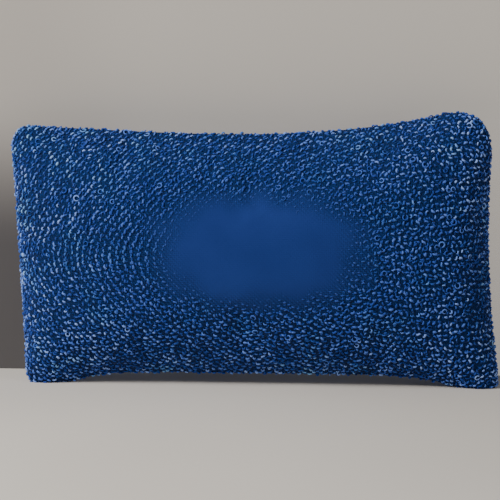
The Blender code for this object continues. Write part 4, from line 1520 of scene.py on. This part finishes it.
# %% [markdown]
# ## Metal parts and the inner thread
# The slider, its pull tab and the stops have the right shape already, so the CAD pieces stay.
# They gain two modifiers, which don't touch the mesh itself: Weld joins the loose triangles
# and Bevel softens the edges, because a hard edge catches no light.

# %% Finishes for the CAD pieces
CAD_FINISH = {
    "zip_slider_body": (METAL_FINISH, 0.00016),
    "zip_pull_tab": (METAL_FINISH, 0.00018),
    "zip_upper_top_stop": (METAL_FINISH, 0.00025),
    "zip_lower_top_stop": (METAL_FINISH, 0.00025),
    "zip_bottom_stop": (METAL_FINISH, 0.00025),
    "insert_seam_thread": (CASING_FINISH, 0.0),
}
for node, (finish, softness) in CAD_FINISH.items():
    piece = frame["nodes"][node]
    for slot in piece.material_slots:
        slot.material = finish
    if softness:
        weld = piece.modifiers.new("weld", "WELD")
        weld.merge_threshold = 0.00001
        soften = piece.modifiers.new("soften", "BEVEL")
        soften.width = softness
        soften.segments = 2
        soften.limit_method = "ANGLE"
        soften.angle_limit = radians(35)
print("CAD pieces kept:", ", ".join(CAD_FINISH))

# %% [markdown]
# ## A plain studio
# The cushion stands on a pale floor in front of a pale wall. Both are clear from behind, so
# the back and the underside can be looked at as well, and the wall neither blocks nor returns
# light. The wall carries painted shadow: darker towards the left, darkest low on the left, and a
# painted contact shadow behind the arch under the cushion. Four soft lights share the work. The
# key comes from the left and the fill from the right, the rear light is only for the pieces, and
# the wash is only for the wall. The world fills in the rest.

# %% Floor and backdrop
WALL_AT = 0.078
FLOOR_HALF = 3.0
# Painted shadow on the wall: darker towards the left and darkest low on the left, and a painted
# contact shadow behind the arch under the cushion.
LEFT_SHADOW_X, LEFT_SHADOW_Z = (-0.10, -0.26), (0.30, 0.13)  # from where it starts to full
ARCH_SHADOW_X, ARCH_SHADOW_Z = (0.250, 0.225), (0.040, 0.010)
WALL_LEFT_SHADED, WALL_RIGHT = (0.43, 0.40, 0.365), (0.485, 0.455, 0.415)
LEFT_SHADOW, ARCH_SHADOW = (0.095, 0.088, 0.088), (0.010, 0.010, 0.010)


def clear_from_behind(made, pen):
    """Lets a backdrop be seen only from its front."""
    behind = pen.add("ShaderNodeNewGeometry", out="Backfacing")
    clear = pen.add("ShaderNodeBsdfTransparent", out=0)
    both = pen.add("ShaderNodeMixShader", {0: behind, 2: clear})
    pen.link(made.node_tree.nodes["Principled BSDF"].outputs[0], both.inputs[1])
    pen.link(both.outputs[0], made.node_tree.nodes["Material Output"].inputs["Surface"])


def plain_floor():
    made, pen, shader, place = start_finish("pale_floor", Roughness=0.9)
    blotch = pen.add("ShaderNodeTexNoise", {"Vector": place, "Scale": 2.2, "Detail": 1.0}, out=0)
    colour = ramp(pen, blotch, (0.35, (0.65, 0.605, 0.545)), (0.65, (0.69, 0.645, 0.585)))
    pen.link(colour, shader["Base Color"])
    clear_from_behind(made, pen)
    return made


def plain_wall():
    """Pale, with painted shadow darker towards the left, most low on the left, and behind the arch.
    """
    made, pen, shader, place = start_finish("pale_wall", Roughness=0.9)
    x, _, z = pen.add("ShaderNodeSeparateXYZ", {0: place}).outputs

    def towards(value, ends):
        return pen.remap(value, 0.0, 1.0, *ends, interpolation_type="SMOOTHSTEP")

    # painted shadow: the wall darkens towards the left, and most low on the left
    left = towards(x, LEFT_SHADOW_X)
    low_left_shadow = pen.times(left, towards(z, LEFT_SHADOW_Z))
    # painted contact shadow on the wall, behind the arch under the cushion
    arch = pen.times(towards(z, ARCH_SHADOW_Z), towards(pen.maths("ABSOLUTE", x), ARCH_SHADOW_X))
    colour = blended(pen, pen.maths("SUBTRACT", 1.0, left), WALL_LEFT_SHADED, WALL_RIGHT)
    colour = blended(pen, arch, blended(pen, low_left_shadow, colour, LEFT_SHADOW), ARCH_SHADOW)
    pen.link(colour, shader["Base Color"])
    clear_from_behind(made, pen)
    return made


def add_plane(name, corners, finish):
    made = add_piece(name, new_mesh(name, corners, [(0, 1, 2, 3)]), finish)
    made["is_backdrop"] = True
    return made


F = FLOOR_HALF
floor = add_plane("floor", [(-F, -F, 0), (F, -F, 0), (F, F, 0), (-F, F, 0)], plain_floor())
across, up = ((-F, WALL_AT), (F, WALL_AT)), 2 * F
wall = add_plane("wall", [(*across[0], 0), (*across[1], 0), (*across[1], up), (*across[0], up)],
                 plain_wall())
wall.visible_shadow = wall.visible_diffuse = wall.visible_glossy = False

# %% Lights
def add_light(name, place, size, power, colour=(1.0, 0.985, 0.96)):
    data = bpy.data.lights.new(name, "AREA")
    data.size, data.energy, data.color = size, power, colour
    made = bpy.data.objects.new(name, data)
    made.location = place
    made.rotation_euler = (AIM - Vector(place)).to_track_quat("-Z", "Y").to_euler()
    made.visible_camera = False
    bpy.context.scene.collection.objects.link(made)
    return made


key = add_light("key", (-1.25, -1.18, 1.34), 0.8, 57.0)
add_light("fill", (1.5, -1.5, 0.8), 1.2, 11.5)
rear = add_light("rear", (-0.5, 1.9, 1.0), 1.4, 44.0)
wash = add_light("wash", (-0.6, -1.7, 1.6), 1.6, 50.0)
wash.data.use_shadow = False


def light_only(light, lit):
    light.light_linking.receiver_collection = bpy.data.collections.new(f"{light.name}_lights")
    for piece in lit:
        light.light_linking.receiver_collection.objects.link(piece)


light_only(rear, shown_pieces())
light_only(key, [*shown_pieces(), floor])
light_only(wash, [wall])
world = bpy.data.worlds.new("studio")
bpy.context.scene.world = world
world.use_nodes = True
background = world.node_tree.nodes["Background"].inputs
background["Color"].default_value = (0.86, 0.87, 0.90, 1.0)
background["Strength"].default_value = 0.12

# %% [markdown]
# ## Finish
# The loop shapes were only patterns for the copies, so they are removed.

# %% Finish
for shape in list(loop_shapes.objects):
    discard(shape)
bpy.data.collections.remove(loop_shapes)
